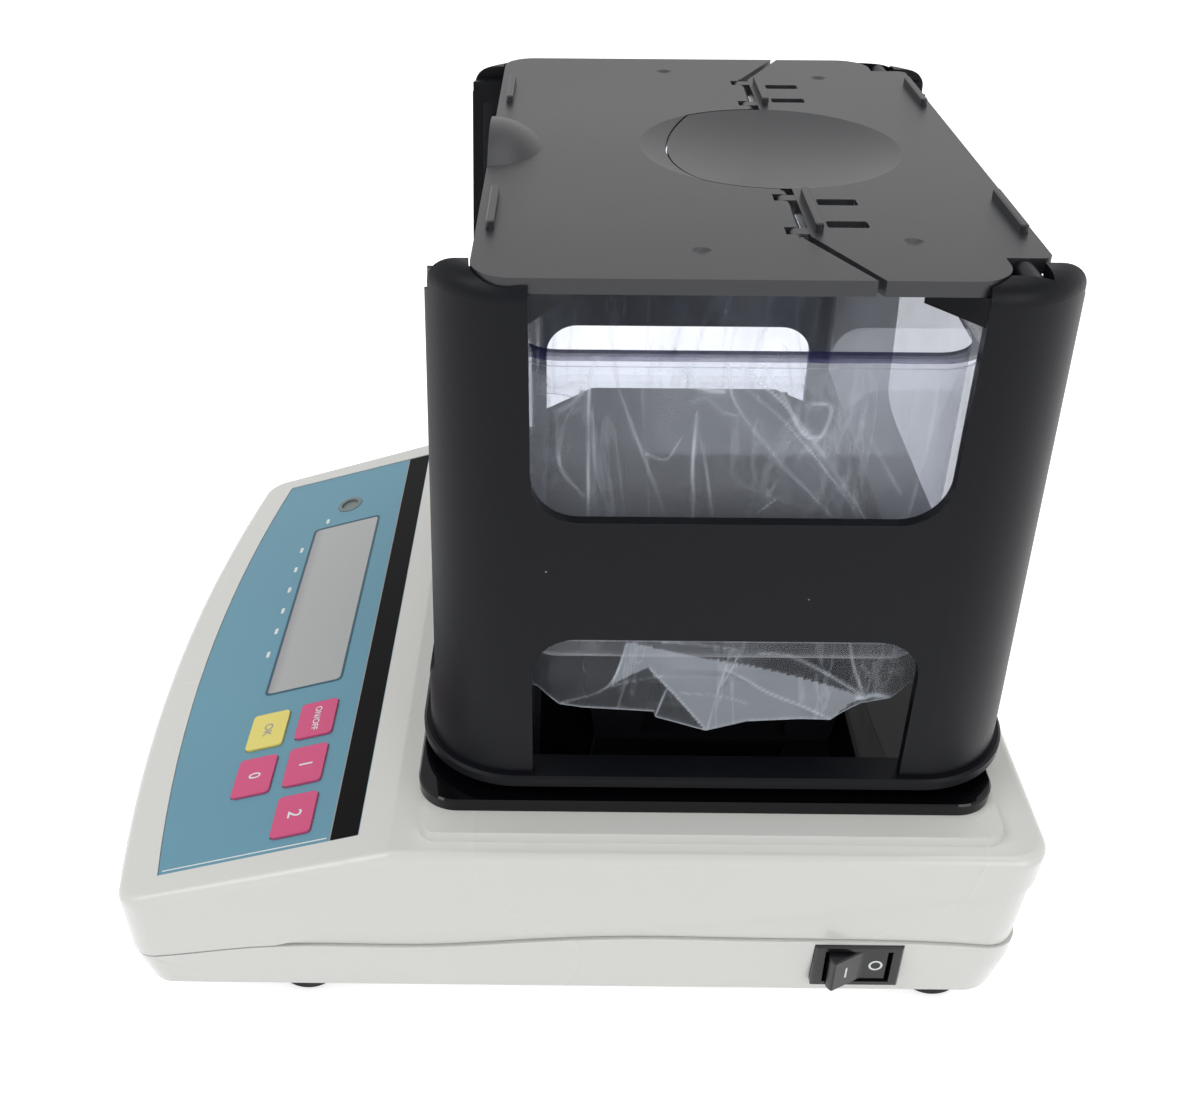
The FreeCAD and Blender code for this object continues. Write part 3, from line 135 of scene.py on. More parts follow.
class Finish:
    # a material being put together: its shader, its coordinates and its textures

    def __init__(self, name, colour, rough, **more):
        self.material = bpy.data.materials.new(name)
        self.material.use_nodes = True
        self.tree = self.material.node_tree
        self.shader = self.tree.nodes["Principled BSDF"]
        self.output = self.tree.nodes["Material Output"]
        self.set("Base Color", tuple(colour) + (1.0,))
        self.set("Roughness", rough)
        for key, value in more.items():
            self.set(key.replace("_", " "), value)
        self.coords = self.tree.nodes.new("ShaderNodeTexCoord")

    def set(self, socket, value):
        self.shader.inputs[socket].default_value = value

    def link(self, wire, socket):
        self.tree.links.new(wire.socket, self.shader.inputs[socket])

    # any node: its type, the output that is used, its sockets and its settings
    def node(self, kind, output, inputs=(), **settings):
        made = self.tree.nodes.new(kind)
        for key, value in settings.items():
            setattr(made, key, value)
        for slot, value in dict(inputs).items():
            if isinstance(value, Wire):
                self.tree.links.new(value.socket, made.inputs[slot])
            else:
                made.inputs[slot].default_value = value
        return Wire(self.tree, made.outputs[output])

    def place(self):
        return Wire(self.tree, self.coords.outputs["Object"])

    def axis(self, letter):
        return self.node("ShaderNodeSeparateXYZ", letter, {"Vector": self.place()})

    def stretched(self, scale):
        return self.node("ShaderNodeMapping", "Vector", {"Vector": self.place(), "Scale": scale})

    def noise(self, scale, detail=3.0, rough=0.5, place=None, twist=0.0):
        return self.node("ShaderNodeTexNoise", "Fac",
                         {"Vector": place or self.place(), "Scale": scale, "Detail": detail,
                          "Roughness": rough, "Distortion": twist})

    # small round dots at random places: 1 inside, 0 outside
    def specks(self, perMetre, radius):
        cell = self.node("ShaderNodeTexVoronoi", "Distance", {"Vector": self.place(), "Scale": perMetre})
        return cell.below(radius * perMetre)

    def blend(self, amount, first, second):
        first, second = (v if isinstance(v, Wire) else tuple(v) + (1.0,) for v in (first, second))
        return self.node("ShaderNodeMix", 2, {0: amount, 6: first, 7: second}, data_type="RGBA")

    def bump(self, height, strength, distance):
        self.link(self.node("ShaderNodeBump", "Normal",
                            {"Height": height, "Strength": strength, "Distance": distance}), "Normal")

    # lets the eye through the surface where amount is low
    def seeThrough(self, amount, tint):
        see = self.node("ShaderNodeBsdfTransparent", "BSDF", {"Color": tuple(tint) + (1.0,)})
        solid = Wire(self.tree, self.shader.outputs[0])
        mixed = self.node("ShaderNodeMixShader", "Shader", {0: amount, 1: see, 2: solid})
        self.tree.links.new(mixed.socket, self.output.inputs["Surface"])


def lighter(colour, factor):
    return tuple(min(1.0, c * factor) for c in colour)


# moulded plastic: a fine spark-eroded grain, a slow drift of shade and gloss, and a few specks of lint
def mouldedPlastic(name, colour, rough, grain, grainScale, drift=0.03, lint=0.0, **more):
    f = Finish(name, colour, rough, **more)
    slow = f.noise(14.0, 2.0)
    shade = f.blend(slow, lighter(colour, 1 - drift), lighter(colour, 1 + drift))
    if lint:
        shade = f.blend(f.specks(70.0, 0.00022), shade, (lint, lint, lint))
    f.link(shade, "Base Color")
    f.link(f.noise(9.0, 1.0).between(0.3, 0.7, rough - 0.02, rough + 0.02), "Roughness")
    f.bump(f.noise(grainScale, 2.0), grain, 0.0002)
    return f.material


# polished acrylic: almost a mirror, dulled by hair scratches and a few specks of dust
def polishedAcrylic(name, colour):
    f = Finish(name, colour, 0.06, Specular_IOR_Level=0.35)
    scratch = f.noise(500.0, 2.0, 0.5, f.stretched((1.0, 9.0, 1.0)))
    dust = f.specks(140.0, 0.00014)
    f.link(scratch.between(0.55, 0.8, 0.04, 0.10) + dust * 0.35, "Roughness")
    f.link(f.blend(dust, colour, (0.10, 0.10, 0.11)), "Base Color")
    return f.material


# printed film: flat ink with a fine screen texture, and a slight sheen
def printedFilm(name, colour, rough=0.36, sheen=0.35):
    f = Finish(name, colour, rough, Specular_IOR_Level=sheen)
    cloud = f.noise(22.0, 3.0)
    f.link(f.blend(cloud, lighter(colour, 0.96), lighter(colour, 1.04)), "Base Color")
    f.bump(f.noise(3200.0, 1.0), 0.15, 0.00005)
    return f.material


# moulded rubber: matt and a little dusty
def rubberFinish(name):
    f = Finish(name, (0.018, 0.018, 0.02), 0.75)
    f.bump(f.noise(1500.0, 3.0), 0.4, 0.0001)
    dusty = f.noise(130.0, 4.0)
    f.link(f.blend(dusty.between(0.45, 0.8), (0.014, 0.014, 0.016), (0.05, 0.05, 0.05)), "Base Color")
    return f.material


# turned or brushed metal: grain drawn out along one way
def brushedMetal(name, colour, rough, along=(1.0, 60.0, 60.0)):
    f = Finish(name, colour, rough, Metallic=1.0)
    grain = f.noise(90.0, 4.0, 0.6, f.stretched(along))
    f.link(grain.between(0.2, 0.8, rough * 0.75, rough * 1.3), "Roughness")
    f.bump(grain, 0.08, 0.0001)
    return f.material


# circuit board: solder mask with tracks drawn as thin lines where two waves nearly meet
def circuitBoard(name):
    f = Finish(name, (0.02, 0.13, 0.05), 0.35, Coat_Weight=0.3, Coat_Roughness=0.15)
    x = (f.axis("X") * 1400.0 + f.noise(60.0, 1.0) * 6.0).sine()
    y = (f.axis("Y") * 1100.0 + f.noise(48.0, 1.0) * 6.0).sine()
    track = (x * y).size().below(0.13)
    f.link(f.blend(track, (0.015, 0.11, 0.045), (0.05, 0.26, 0.10)), "Base Color")
    f.bump(track, 0.3, 0.00008)
    return f.material


# clear moulding: see-through face on, shinier at a slant, and painted dark indigo over the thick rim, a
# painted shade standing in for the light seen along it
def clearMoulding(name, tint, rimShade, rimAbove, clear, rough=0.04):
    f = Finish(name, tint, rough, IOR=1.49)
    slant = f.node("ShaderNodeLayerWeight", "Facing", {"Blend": 0.35})
    # painted rim shade: above rimAbove the colour turns dark indigo and the surface more solid
    paintedRimMask = f.axis("Z").above(rimAbove)
    f.link(f.blend(paintedRimMask, tint, rimShade), "Base Color")
    scuff = f.noise(30.0, 4.0, 0.6, twist=0.5).between(0.5, 0.75, 0.0, 0.05)
    amount = slant.between(0.25, 0.98, 1.0 - clear, 0.70) + scuff + paintedRimMask * 0.62
    f.seeThrough(amount.least(0.93), tint)
    return f.material


# thin film: clear between its folds, milky where it lies double, with a painted highlight along each
# crease and along the hem
def foldedFilm(name):
    f = Finish(name, (0.68, 0.74, 0.84), 0.14, Specular_IOR_Level=0.9)
    # painted highlight along the creases and the hem, carried on the mesh
    creaseHighlight = f.node("ShaderNodeAttribute", "Fac", attribute_name="creaseHighlight")
    haze = f.node("ShaderNodeAttribute", "Fac", attribute_name="haze")
    cloud = f.noise(24.0, 3.0, 0.5, twist=0.8)
    drawn = f.noise(60.0, 4.0, 0.6, f.stretched((1.0, 1.0, 0.22)), 0.8)
    streak = (drawn - 0.5).size().between(0.0, 0.03, 1.0, 0.0)
    slant = f.node("ShaderNodeLayerWeight", "Facing", {"Blend": 0.4})
    amount = (cloud.between(0.38, 0.72, 0.04, 0.17) + haze * 0.30 + creaseHighlight * 0.75 + streak * 0.09
              + slant * 0.16)
    f.bump(cloud + drawn * 0.25, 0.6, 0.004)
    f.seeThrough(amount.least(0.85), (0.97, 0.975, 0.985))
    return f.material


# unlit display: grey glass, with painted shade along its front edge, darker and a little mauve, where
# the recess shades it
def displayFinish(name, pale, mauveShade, edgeAt):
    f = Finish(name, pale, 0.14, Coat_Weight=0.5, Coat_Roughness=0.05)
    # painted shade of the recess: darker and a little mauve towards the front edge
    front = f.axis("Y").between(edgeAt - 0.003, edgeAt + 0.002)
    f.link(f.blend(front, mauveShade, pale), "Base Color")
    f.bump(f.noise(900.0, 1.0), 0.03, 0.0001)
    return f.material


shellGrey = mouldedPlastic("shellGrey", (0.715, 0.715, 0.685), 0.27, 0.03, 900.0, 0.008,
                           Coat_Weight=0.3, Coat_Roughness=0.08)
towerBlack = mouldedPlastic("towerBlack", (0.0060, 0.0065, 0.0090), 0.38, 0.12, 2400.0, 0.10, 0.20,
                            Specular_IOR_Level=0.14)
lidBlack = mouldedPlastic("lidBlack", (0.020, 0.021, 0.024), 0.40, 0.16, 2600.0, 0.06,
                          Specular_IOR_Level=0.55)
standBlack = mouldedPlastic("standBlack", (0.005, 0.005, 0.007), 0.4, 0.03, 2000.0, 0.08,
                            Specular_IOR_Level=0.14)
switchBlack = mouldedPlastic("switchBlack", (0.008, 0.008, 0.010), 0.24, 0.05, 1500.0, 0.08,
                             Specular_IOR_Level=0.4)
plateBlack = polishedAcrylic("plateBlack", (0.002, 0.002, 0.003))
overlayBlue = printedFilm("overlayBlue", (0.140, 0.330, 0.430))
keyPink = printedFilm("keyPink", (0.69, 0.095, 0.235))
keyYellow = printedFilm("keyYellow", (0.84, 0.73, 0.20))
stripBlack = printedFilm("stripBlack", (0.004, 0.004, 0.004), 0.45, 0.06)
inkWhite = printedFilm("inkWhite", (0.80, 0.82, 0.83), 0.4)
inkGrey = printedFilm("inkGrey", (0.34, 0.35, 0.36), 0.4)
# dark colour for the ring round the display window: painted shade at the window's edge, not ink
windowShadeDark = printedFilm("windowShadeDark", (0.03, 0.10, 0.14))
footRubber = rubberFinish("footRubber")
screwSteel = brushedMetal("screwSteel", (0.55, 0.56, 0.58), 0.28)
cellAluminium = brushedMetal("cellAluminium", (0.72, 0.73, 0.75), 0.34, (1.0, 1.0, 50.0))
boardGreen = circuitBoard("boardGreen")
tankClear = clearMoulding("tankClear", (0.94, 0.95, 0.975), (0.030, 0.030, 0.14), 0.1687, 0.95)
vialClear = clearMoulding("vialClear", (0.30, 0.36, 0.36), (0.30, 0.36, 0.36), 1.0, 0.35)
filmClear = foldedFilm("filmClear")
displayGrey = displayFinish("displayGrey", (0.40, 0.415, 0.41), (0.27, 0.25, 0.28), -0.0765)
print("finishes made")

cadFinishes = {
    "top_housing": shellGrey, "bottom_housing": shellGrey, "foot_front_left": footRubber,
    "foot_front_right": footRubber, "foot_rear_left": footRubber, "foot_rear_right": footRubber,
    "housing_screws": screwSteel, "keypad_overlay": overlayBlue, "lcd_window": displayGrey,
    "lcd_module": standBlack, "display_board": boardGreen, "key_power": keyPink,
    "key_enter": keyYellow, "key_a": keyPink, "key_zero": keyPink, "key_b": keyPink,
    "level_vial": vialClear, "base_plate": plateBlack, "wind_shield_frame": towerBlack,
    "rear_lid": lidBlack, "front_lid": lidBlack, "middle_hinge_pins": screwSteel,
    "rear_hinge_pins": screwSteel, "water_tank": tankClear, "tank_stand": standBlack,
    "switch_housing": switchBlack, "switch_rocker": switchBlack, "load_cell": cellAluminium,
    "load_cell_mount": cellAluminium, "load_cell_screws": screwSteel, "pan_carrier": cellAluminium,
    "weighing_pan": screwSteel, "main_board": boardGreen, "board_standoffs": standBlack,
    "dc_jack": switchBlack, "serial_port": screwSteel,
}
for nodeName, finish in cadFinishes.items():
    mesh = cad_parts[nodeName].data
    mesh.materials.clear()
    mesh.materials.append(finish)
print("CAD pieces dressed")


# a finished mesh becomes a piece at the origin that rides on a body
def addPiece(name, mesh, body):
    made = bpy.data.objects.new(name, mesh)
    scene.collection.objects.link(made)
    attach(made, body)
    return made


def meshObject(name, points, faces, material, body, smooth=True):
    mesh = bpy.data.meshes.new(name)
    if isinstance(faces, np.ndarray):
        faces = faces.tolist()
    mesh.from_pydata(np.asarray(points, float).tolist(), [], faces)
    mesh.materials.append(material)
    mesh.polygons.foreach_set("use_smooth", np.full(len(mesh.polygons), smooth))
    mesh.update()
    return addPiece(name, mesh, body)


# quads between neighbouring points of a rows x columns grid; closed joins the last column to the first
def gridFaces(rows, columns, closed=False):
    r = np.arange(rows - 1)[:, None]
    c = np.arange(columns if closed else columns - 1)[None, :]
    a = r * columns + c
    b = r * columns + (c + 1) % columns
    return np.stack([a, b, b + columns, a + columns], -1).reshape(-1, 4)


# the sloping panel: where its crease is, and how high the overlay, the keys and the ink lie over it
panel = {"crease": -36.9, "deck": 59.5, "slope": math.radians(16.24), "overlayTop": -0.2,
         "keyTop": 0.4, "ink": 0.05}


# a point of the panel: x, way down the slope from the crease, height over the slope, all in mm
def onPanel(x, down, rise):
    x, down, rise = np.broadcast_arrays(np.asarray(x, float), down, rise)
    c, s = math.cos(panel["slope"]), math.sin(panel["slope"])
    return np.stack([x, panel["crease"] - down * c - rise * s, panel["deck"] - down * s + rise * c],
                    -1) * mm


# a closed outline raised to a thin print: top face and a short skirt
def flatPrint(name, outline, rise, material, body):
    x, down = (np.asarray(v, float) for v in outline)
    count = len(x)
    top = onPanel(x, down, rise)
    low = onPanel(x, down, rise - panel["ink"] * 0.8)
    ring = np.arange(count)
    turn = np.sum(x * np.roll(down, -1) - np.roll(x, -1) * down)
    order = ring[::-1] if turn > 0 else ring
    sides = np.stack([order + count, np.roll(order, -1) + count, np.roll(order, -1), order], -1)
    faces = [order.tolist()] + sides.tolist()
    return meshObject(name, np.concatenate([top, low]), faces, material, body, False)


# rounded rectangle outline: four quarter circles joined by straight runs
def roundedOutline(x0, x1, d0, d1, radius, steps=6):
    quarter = np.linspace(0, math.pi / 2, steps)
    xs, ds = [], []
    for cx, cd, start in ((x1 - radius, d1 - radius, 0), (x0 + radius, d1 - radius, 1),
                          (x0 + radius, d0 + radius, 2), (x1 - radius, d0 + radius, 3)):
        xs.append(cx + radius * np.cos(quarter + start * math.pi / 2))
        ds.append(cd + radius * np.sin(quarter + start * math.pi / 2))
    return np.concatenate(xs), np.concatenate(ds)


def ringPrint(name, outer, inner, rise, material, body):
    points = np.concatenate([onPanel(*outer, rise), onPanel(*inner, rise)])
    faces = gridFaces(2, len(outer[0]), True)
    return meshObject(name, points, faces[:, ::-1], material, body, False)


graphics = {"half": 85.9, "stripRear": 8.1, "stripEnd": 14.8, "lineWidth": 0.35, "sideLine": 84.9,
            "sideLineEnd": 56.6, "mark": (2.6, 1.0), "window": (-54.0, 26.4, 21.8, 43.0),
            "marks": [(-58.0, 39.6), (-44.0, 46.0), (-33.4, 46.0), (-22.8, 46.0), (-12.4, 46.0),
                      (-2.6, 46.0), (8.0, 46.3)]}
keyPlaces = {"power": (41.5, 25.7), "enter": (42.0, 39.0), "a": (58.4, 25.7), "zero": (58.8, 39.1),
             "b": (75.3, 25.4)}
keyLegends = {"power": ("ON/OFF", 2.5), "enter": ("OK", 3.2), "a": ("1", 5.0), "zero": ("0", 4.4),
              "b": ("2", 5.0)}
inkHeight = panel["overlayTop"] + panel["ink"]


# lettering made a mesh, laid on the panel so that it reads from the front
def panelWords(name, words, size, x, down, rise, material, body, bold=0.0):
    curve = bpy.data.curves.new(name, "FONT")
    curve.body = words
    curve.size = size
    curve.align_x = "CENTER"
    curve.align_y = "CENTER"
    curve.offset = bold
    holder = bpy.data.objects.new(name + "Curve", curve)
    scene.collection.objects.link(holder)
    bpy.context.view_layer.update()
    mesh = bpy.data.meshes.new_from_object(holder.evaluated_get(
        bpy.context.evaluated_depsgraph_get()))
    bpy.data.objects.remove(holder)
    flat = np.zeros(len(mesh.vertices) * 3)
    mesh.vertices.foreach_get("co", flat)
    flat = flat.reshape(-1, 3)
    mesh.vertices.foreach_set("co", onPanel(x + flat[:, 0], down - flat[:, 1], rise).ravel())
    mesh.materials.clear()
    mesh.materials.append(material)
    mesh.update()
    return addPiece(name, mesh, body)


def makePanelGraphics(g):
    half, wide = g["half"], g["lineWidth"]
    rear, end, side = g["stripRear"], g["stripEnd"], g["sideLine"]
    strip = roundedOutline(-half, half, rear, end, 0.3, 3)
    flatPrint("panelStrip", strip, inkHeight, stripBlack, "housing")
    line = roundedOutline(-half, half, end + 0.05, end + wide, 0.1, 3)
    flatPrint("stripLine", line, inkHeight, inkGrey, "housing")
    line = roundedOutline(side - wide / 2, side + wide / 2, end + 1.0, g["sideLineEnd"], 0.1, 3)
    flatPrint("sideLine", line, inkHeight, inkWhite, "housing")
    long, wide = g["mark"]
    for i, (x, down) in enumerate(g["marks"]):
        mark = roundedOutline(x - long / 2, x + long / 2, down - wide / 2, down + wide / 2, 0.3, 3)
        flatPrint("stateMark%d" % i, mark, inkHeight, inkWhite, "housing")
    for key, (x, down) in keyPlaces.items():
        words, size = keyLegends[key]
        onYellow = key == "enter"
        panelWords("legend_" + key, words, size, x, down, panel["keyTop"] + panel["ink"],
                   inkGrey if onYellow else inkWhite,
                   "key_" + key + "_cap", 0.04)
    x0, x1, d0, d1 = g["window"]
    outer = roundedOutline(x0 - 0.5, x1 + 0.5, d0 - 0.5, d1 + 0.5, 1.6)
    inner = roundedOutline(x0 + 0.2, x1 - 0.2, d0 + 0.2, d1 - 0.2, 1.2)
    # a dark ring painted round the display window as the shade at its edge
    ringPrint("windowEdgeShade", outer, inner, inkHeight + 0.04, windowShadeDark, "housing")
    print("panel printed")


makePanelGraphics(graphics)

# marks on the switch: a bar and a ring in white, on the rocker's two slopes; all in mm
rocker = {"face": 92.525, "middle": 71.0, "tip": 3.4, "front": 63.8, "z": 21.85, "ink": 0.04,
          "barAlong": 0.28, "barHigh": 1.7, "barShare": 0.55, "sunk": 0.5, "edge": 1.0,
          "ringOut": 1.65, "ringIn": 1.15, "ringAt": 4.4, "ringSteps": 32}


# the front slope runs from the pivot line up to the tip, and the rear one is flat
def makeSwitchMarks(v):
    y0, x0 = v["middle"] + v["edge"], v["face"] - v["sunk"]
    y1, x1 = v["front"] + v["edge"], v["face"] + v["tip"]
    share, steps = v["barShare"], v["ringSteps"]
    centre = np.array([x0 + (x1 - x0) * share, y0 + (y1 - y0) * share])
    along = np.array([x1 - x0, y1 - y0]) / math.hypot(x1 - x0, y1 - y0)
    out = np.array([-along[1], along[0]])
    out = out if out[0] > 0 else -out
    corners = np.array([[-1, -1], [1, -1], [1, 1], [-1, 1]]) * [v["barAlong"], v["barHigh"]]
    flat = (centre + out * v["ink"]) + corners[:, :1] * along
    points = np.column_stack([flat, v["z"] + corners[:, 1]])
    meshObject("switchBar", points * mm, [[0, 1, 2, 3]], inkWhite, "rocker", False)
    turn = np.linspace(0, 2 * math.pi, steps + 1)[:-1]
    rings = [np.stack([np.full(steps, x0 + v["ink"]), v["middle"] + v["ringAt"] + radius * np.cos(turn),
                       v["z"] + radius * np.sin(turn)], -1) for radius in (v["ringOut"], v["ringIn"])]
    meshObject("switchRing", np.concatenate(rings) * mm, gridFaces(2, steps, True)[:, ::-1], inkWhite,
               "rocker", False)
    print("switch marked")


makeSwitchMarks(rocker)

# the film round the tank, in mm. Along the right side a place is (y, z); columns gives the points along
# each leg of the round trip: right side, corner, rear, corner, left side, corner, front, corner
film = {"halfWidth": 72.75, "front": -10.6, "rear": 82.6, "radius": 10.9, "top": 168.7, "hem": 86.0,
        "columns": (290, 40, 84, 16, 84, 16, 84, 40), "upright": 140, "slack": 0.35, "most": 2.5,
        "seed": 5, "strays": 46, "blendIn": 8, "creaseReach": 1.6, "creaseOut": 0.8, "overRim": 0.75,
        "edgeWidth": 0.45, "hemHighlightBright": 0.5, "milkyShare": 0.42, "cutWide": 1.01, "cutLong": 1.05,
        # ripples: height, waves in one round, shift; bumps: height, place, width
        "hemRipples": ((2.6, 3, 0.6), (1.6, 7, 2.1)), "topRipples": ((0.4, 11, 0), (0.3, 23, 1)),
        "topBumps": ((1.5, 8, 2.2), (1.6, 31, 5.5))}
# creases of the right side: their points, width, painted highlight brightness and how far they stand out
foldLines = [
    (((7.6, 169.5), (5.9, 164.2), (6.1, 135.9), (6.0, 112)), 0.34, 0.62, 0.9),
    (((10.2, 167.8), (13.4, 157.7), (21.3, 135.6), (26, 118)), 0.30, 0.34, 0.7),
    (((6.5, 159.8), (7.4, 146.2), (10.3, 135.8), (13, 124)), 0.26, 0.24, 0.4),
    (((26.4, 158.6), (26.3, 146.4), (27.0, 135.9), (27.6, 108)), 0.36, 0.62, 1.0),
    (((26.6, 156.0), (28.4, 149.0), (30.8, 136.0), (33, 122)), 0.26, 0.34, 0.5),
    (((31.6, 168.7), (33.5, 160.8), (41.7, 149.7), (54.4, 135.6), (60, 128)), 0.32, 0.44, 0.9),
    (((34.3, 168.0), (42.6, 160.9), (50.2, 151.3), (60.9, 135.7), (66, 126)), 0.34, 0.56, 1.0),
    (((34.0, 164.8), (44.0, 156.0), (57.0, 140.0), (60.0, 135.0)), 0.26, 0.34, 0.5),
    (((38.0, 168.8), (42.5, 162.4), (46.6, 155.0), (50.3, 153.6), (51.9, 159.0), (50.4, 160.6),
      (47.0, 160.4)), 0.42, 0.80, 1.0),
    (((70.9, 167.7), (71.3, 156.8), (70.1, 136.6), (69, 118)), 0.34, 0.30, 0.9),
    (((74.6, 166.3), (72.4, 157.0), (71.4, 147.7)), 0.28, 0.26, 0.5),
    (((57.9, 156.7), (67.8, 140.6)), 0.24, 0.30, 0.3),
    (((39.9, 135.8), (43.4, 139.5)), 0.22, 0.45, 0.2),
    (((-4.9, 167.0), (-0.4, 157.6), (0.6, 146.2), (5.1, 139.9)), 0.30, 0.32, 0.8),
    (((0.2, 163.4), (4.8, 164.2), (2.9, 160.5), (0.4, 158.9)), 0.60, 0.60, 0.7),
    (((24.0, 167.4), (26.0, 164.4), (28.6, 163.4), (31.0, 163.2)), 0.60, 0.66, 0.8),
    (((25.0, 160.6), (28.0, 161.8), (31.5, 158.6), (34.0, 158.0)), 0.34, 0.44, 0.6),
    (((17.0, 149.4), (21.1, 147.9), (23.8, 152.9)), 0.24, 0.34, 0.4),
    (((31.1, 148.8), (36.0, 143.0), (41.2, 140.3), (49.1, 137.2)), 0.40, 0.20, 0.6),
    (((14.8, 104.0), (14.8, 102.9), (11.0, 90.0), (0.5, 85.1)), 0.26, 0.50, 0.5),
    (((11.0, 90.0), (22.9, 94.0)), 0.24, 0.40, 0.4),
    (((19.8, 96.4), (24.2, 90.2), (33.3, 77.8)), 0.26, 0.46, 0.5),
    (((24.2, 90.2), (21.8, 81.4)), 0.26, 0.50, 0.5),
    (((37.5, 104.0), (33.7, 77.8)), 0.22, 0.36, 0.4),
    (((40.1, 104.0), (35.9, 90.3)), 0.24, 0.34, 0.4),
    (((22.5, 103.3), (30.0, 102.8), (38.5, 101.3)), 0.30, 0.55, 0.4),
    (((43.3, 100.5), (50.1, 99.6), (57.9, 95.4), (67.0, 89.2)), 0.36, 0.80, 0.8),
    (((62.2, 104.0), (64.0, 97.0), (67.4, 88.7)), 0.28, 0.50, 0.6),
    (((36.6, 96.1), (46.0, 89.0), (55.4, 84.6), (60.6, 81.9)), 0.30, 0.34, 0.5),
    (((66.0, 88.4), (69.0, 89.2), (72.8, 88.4)), 0.60, 0.70, 0.5),
    (((27.0, 88.4), (36.0, 87.6), (42.0, 85.6)), 0.26, 0.34, 0.3),
]
# the hem of the right side, and the part there where the film lies double
hemPoints = [(-16.8, 88.6), (-4.4, 89.3), (0.5, 84.9), (5.8, 84.0), (21.5, 83.0), (21.9, 81.4),
             (33.4, 77.5), (42.4, 80.4), (60.7, 81.7), (66.9, 86.8), (73.2, 88.0), (77.3, 90.8),
             (88.6, 88.0)]
doubled = [(14.8, 102.9), (40.3, 97.1), (67.0, 89.2), (60.7, 81.7), (42.4, 80.4), (33.3, 77.6),
           (24.2, 90.2), (19.8, 96.4), (11.8, 90.5)]


# a rounded line through a few points: a Catmull-Rom cubic between each pair
def smoothLine(points, steps=5):
    p = np.array(points, float)
    if len(p) < 3:
        return p
    p = np.concatenate([2 * p[:1] - p[1:2], p, 2 * p[-1:] - p[-2:-1]])
    a, b, c, d = (p[i:len(p) - 3 + i, None, :] for i in range(4))
    u = np.linspace(0, 1, steps + 1)[None, :-1, None]
    line = b + 0.5 * u * (c - a + u * (2 * a - 5 * b + 4 * c - d + u * (3 * (b - c) + d - a)))
    return np.concatenate([line.reshape(-1, 2), p[-2:-1]])


# distance of each point of a grid from a broken line: the least of the distances from its runs
def lineDistance(t, z, points):
    least = np.full(t.shape, 1e3)
    for (t0, z0), (t1, z1) in zip(points[:-1], points[1:]):
        run = (t1 - t0) ** 2 + (z1 - z0) ** 2
        part = np.clip(((t - t0) * (t1 - t0) + (z - z0) * (z1 - z0)) / run, 0, 1)
        least = np.minimum(least, np.hypot(t - t0 - part * (t1 - t0), z - z0 - part * (z1 - z0)))
    return least


# 1 inside a closed outline and 0 outside: a point is inside where a ray crosses an odd number of edges
def insideOutline(t, z, points):
    odd = np.zeros(t.shape, bool)
    for (t0, z0), (t1, z1) in zip(points, points[1:] + points[:1]):
        crosses = (z0 > z) != (z1 > z)
        reach = t0 + (z - z0) * (t1 - t0) / (z1 - z0 if z1 != z0 else 1e-9)
        odd ^= crosses & (t < reach)
    return odd.astype(float)


# long shallow waves in two directions: how slack film bulges between its creases
def slackWaves(t, z, random, count):
    total = np.zeros_like(t)
    for turn, step, shift in zip(random.uniform(-0.9, 0.9, count), random.uniform(0.05, 0.22, count),
                                 random.uniform(0, 6.28, count)):
        total += np.sin((t * math.cos(turn) + z * 0.4 * math.sin(turn)) * step + shift)
    return total / math.sqrt(count)


# 0 before start, 1 from start + length on, straight between
def ramp(value, start, length):
    return np.clip((value - start) / length, 0, 1)


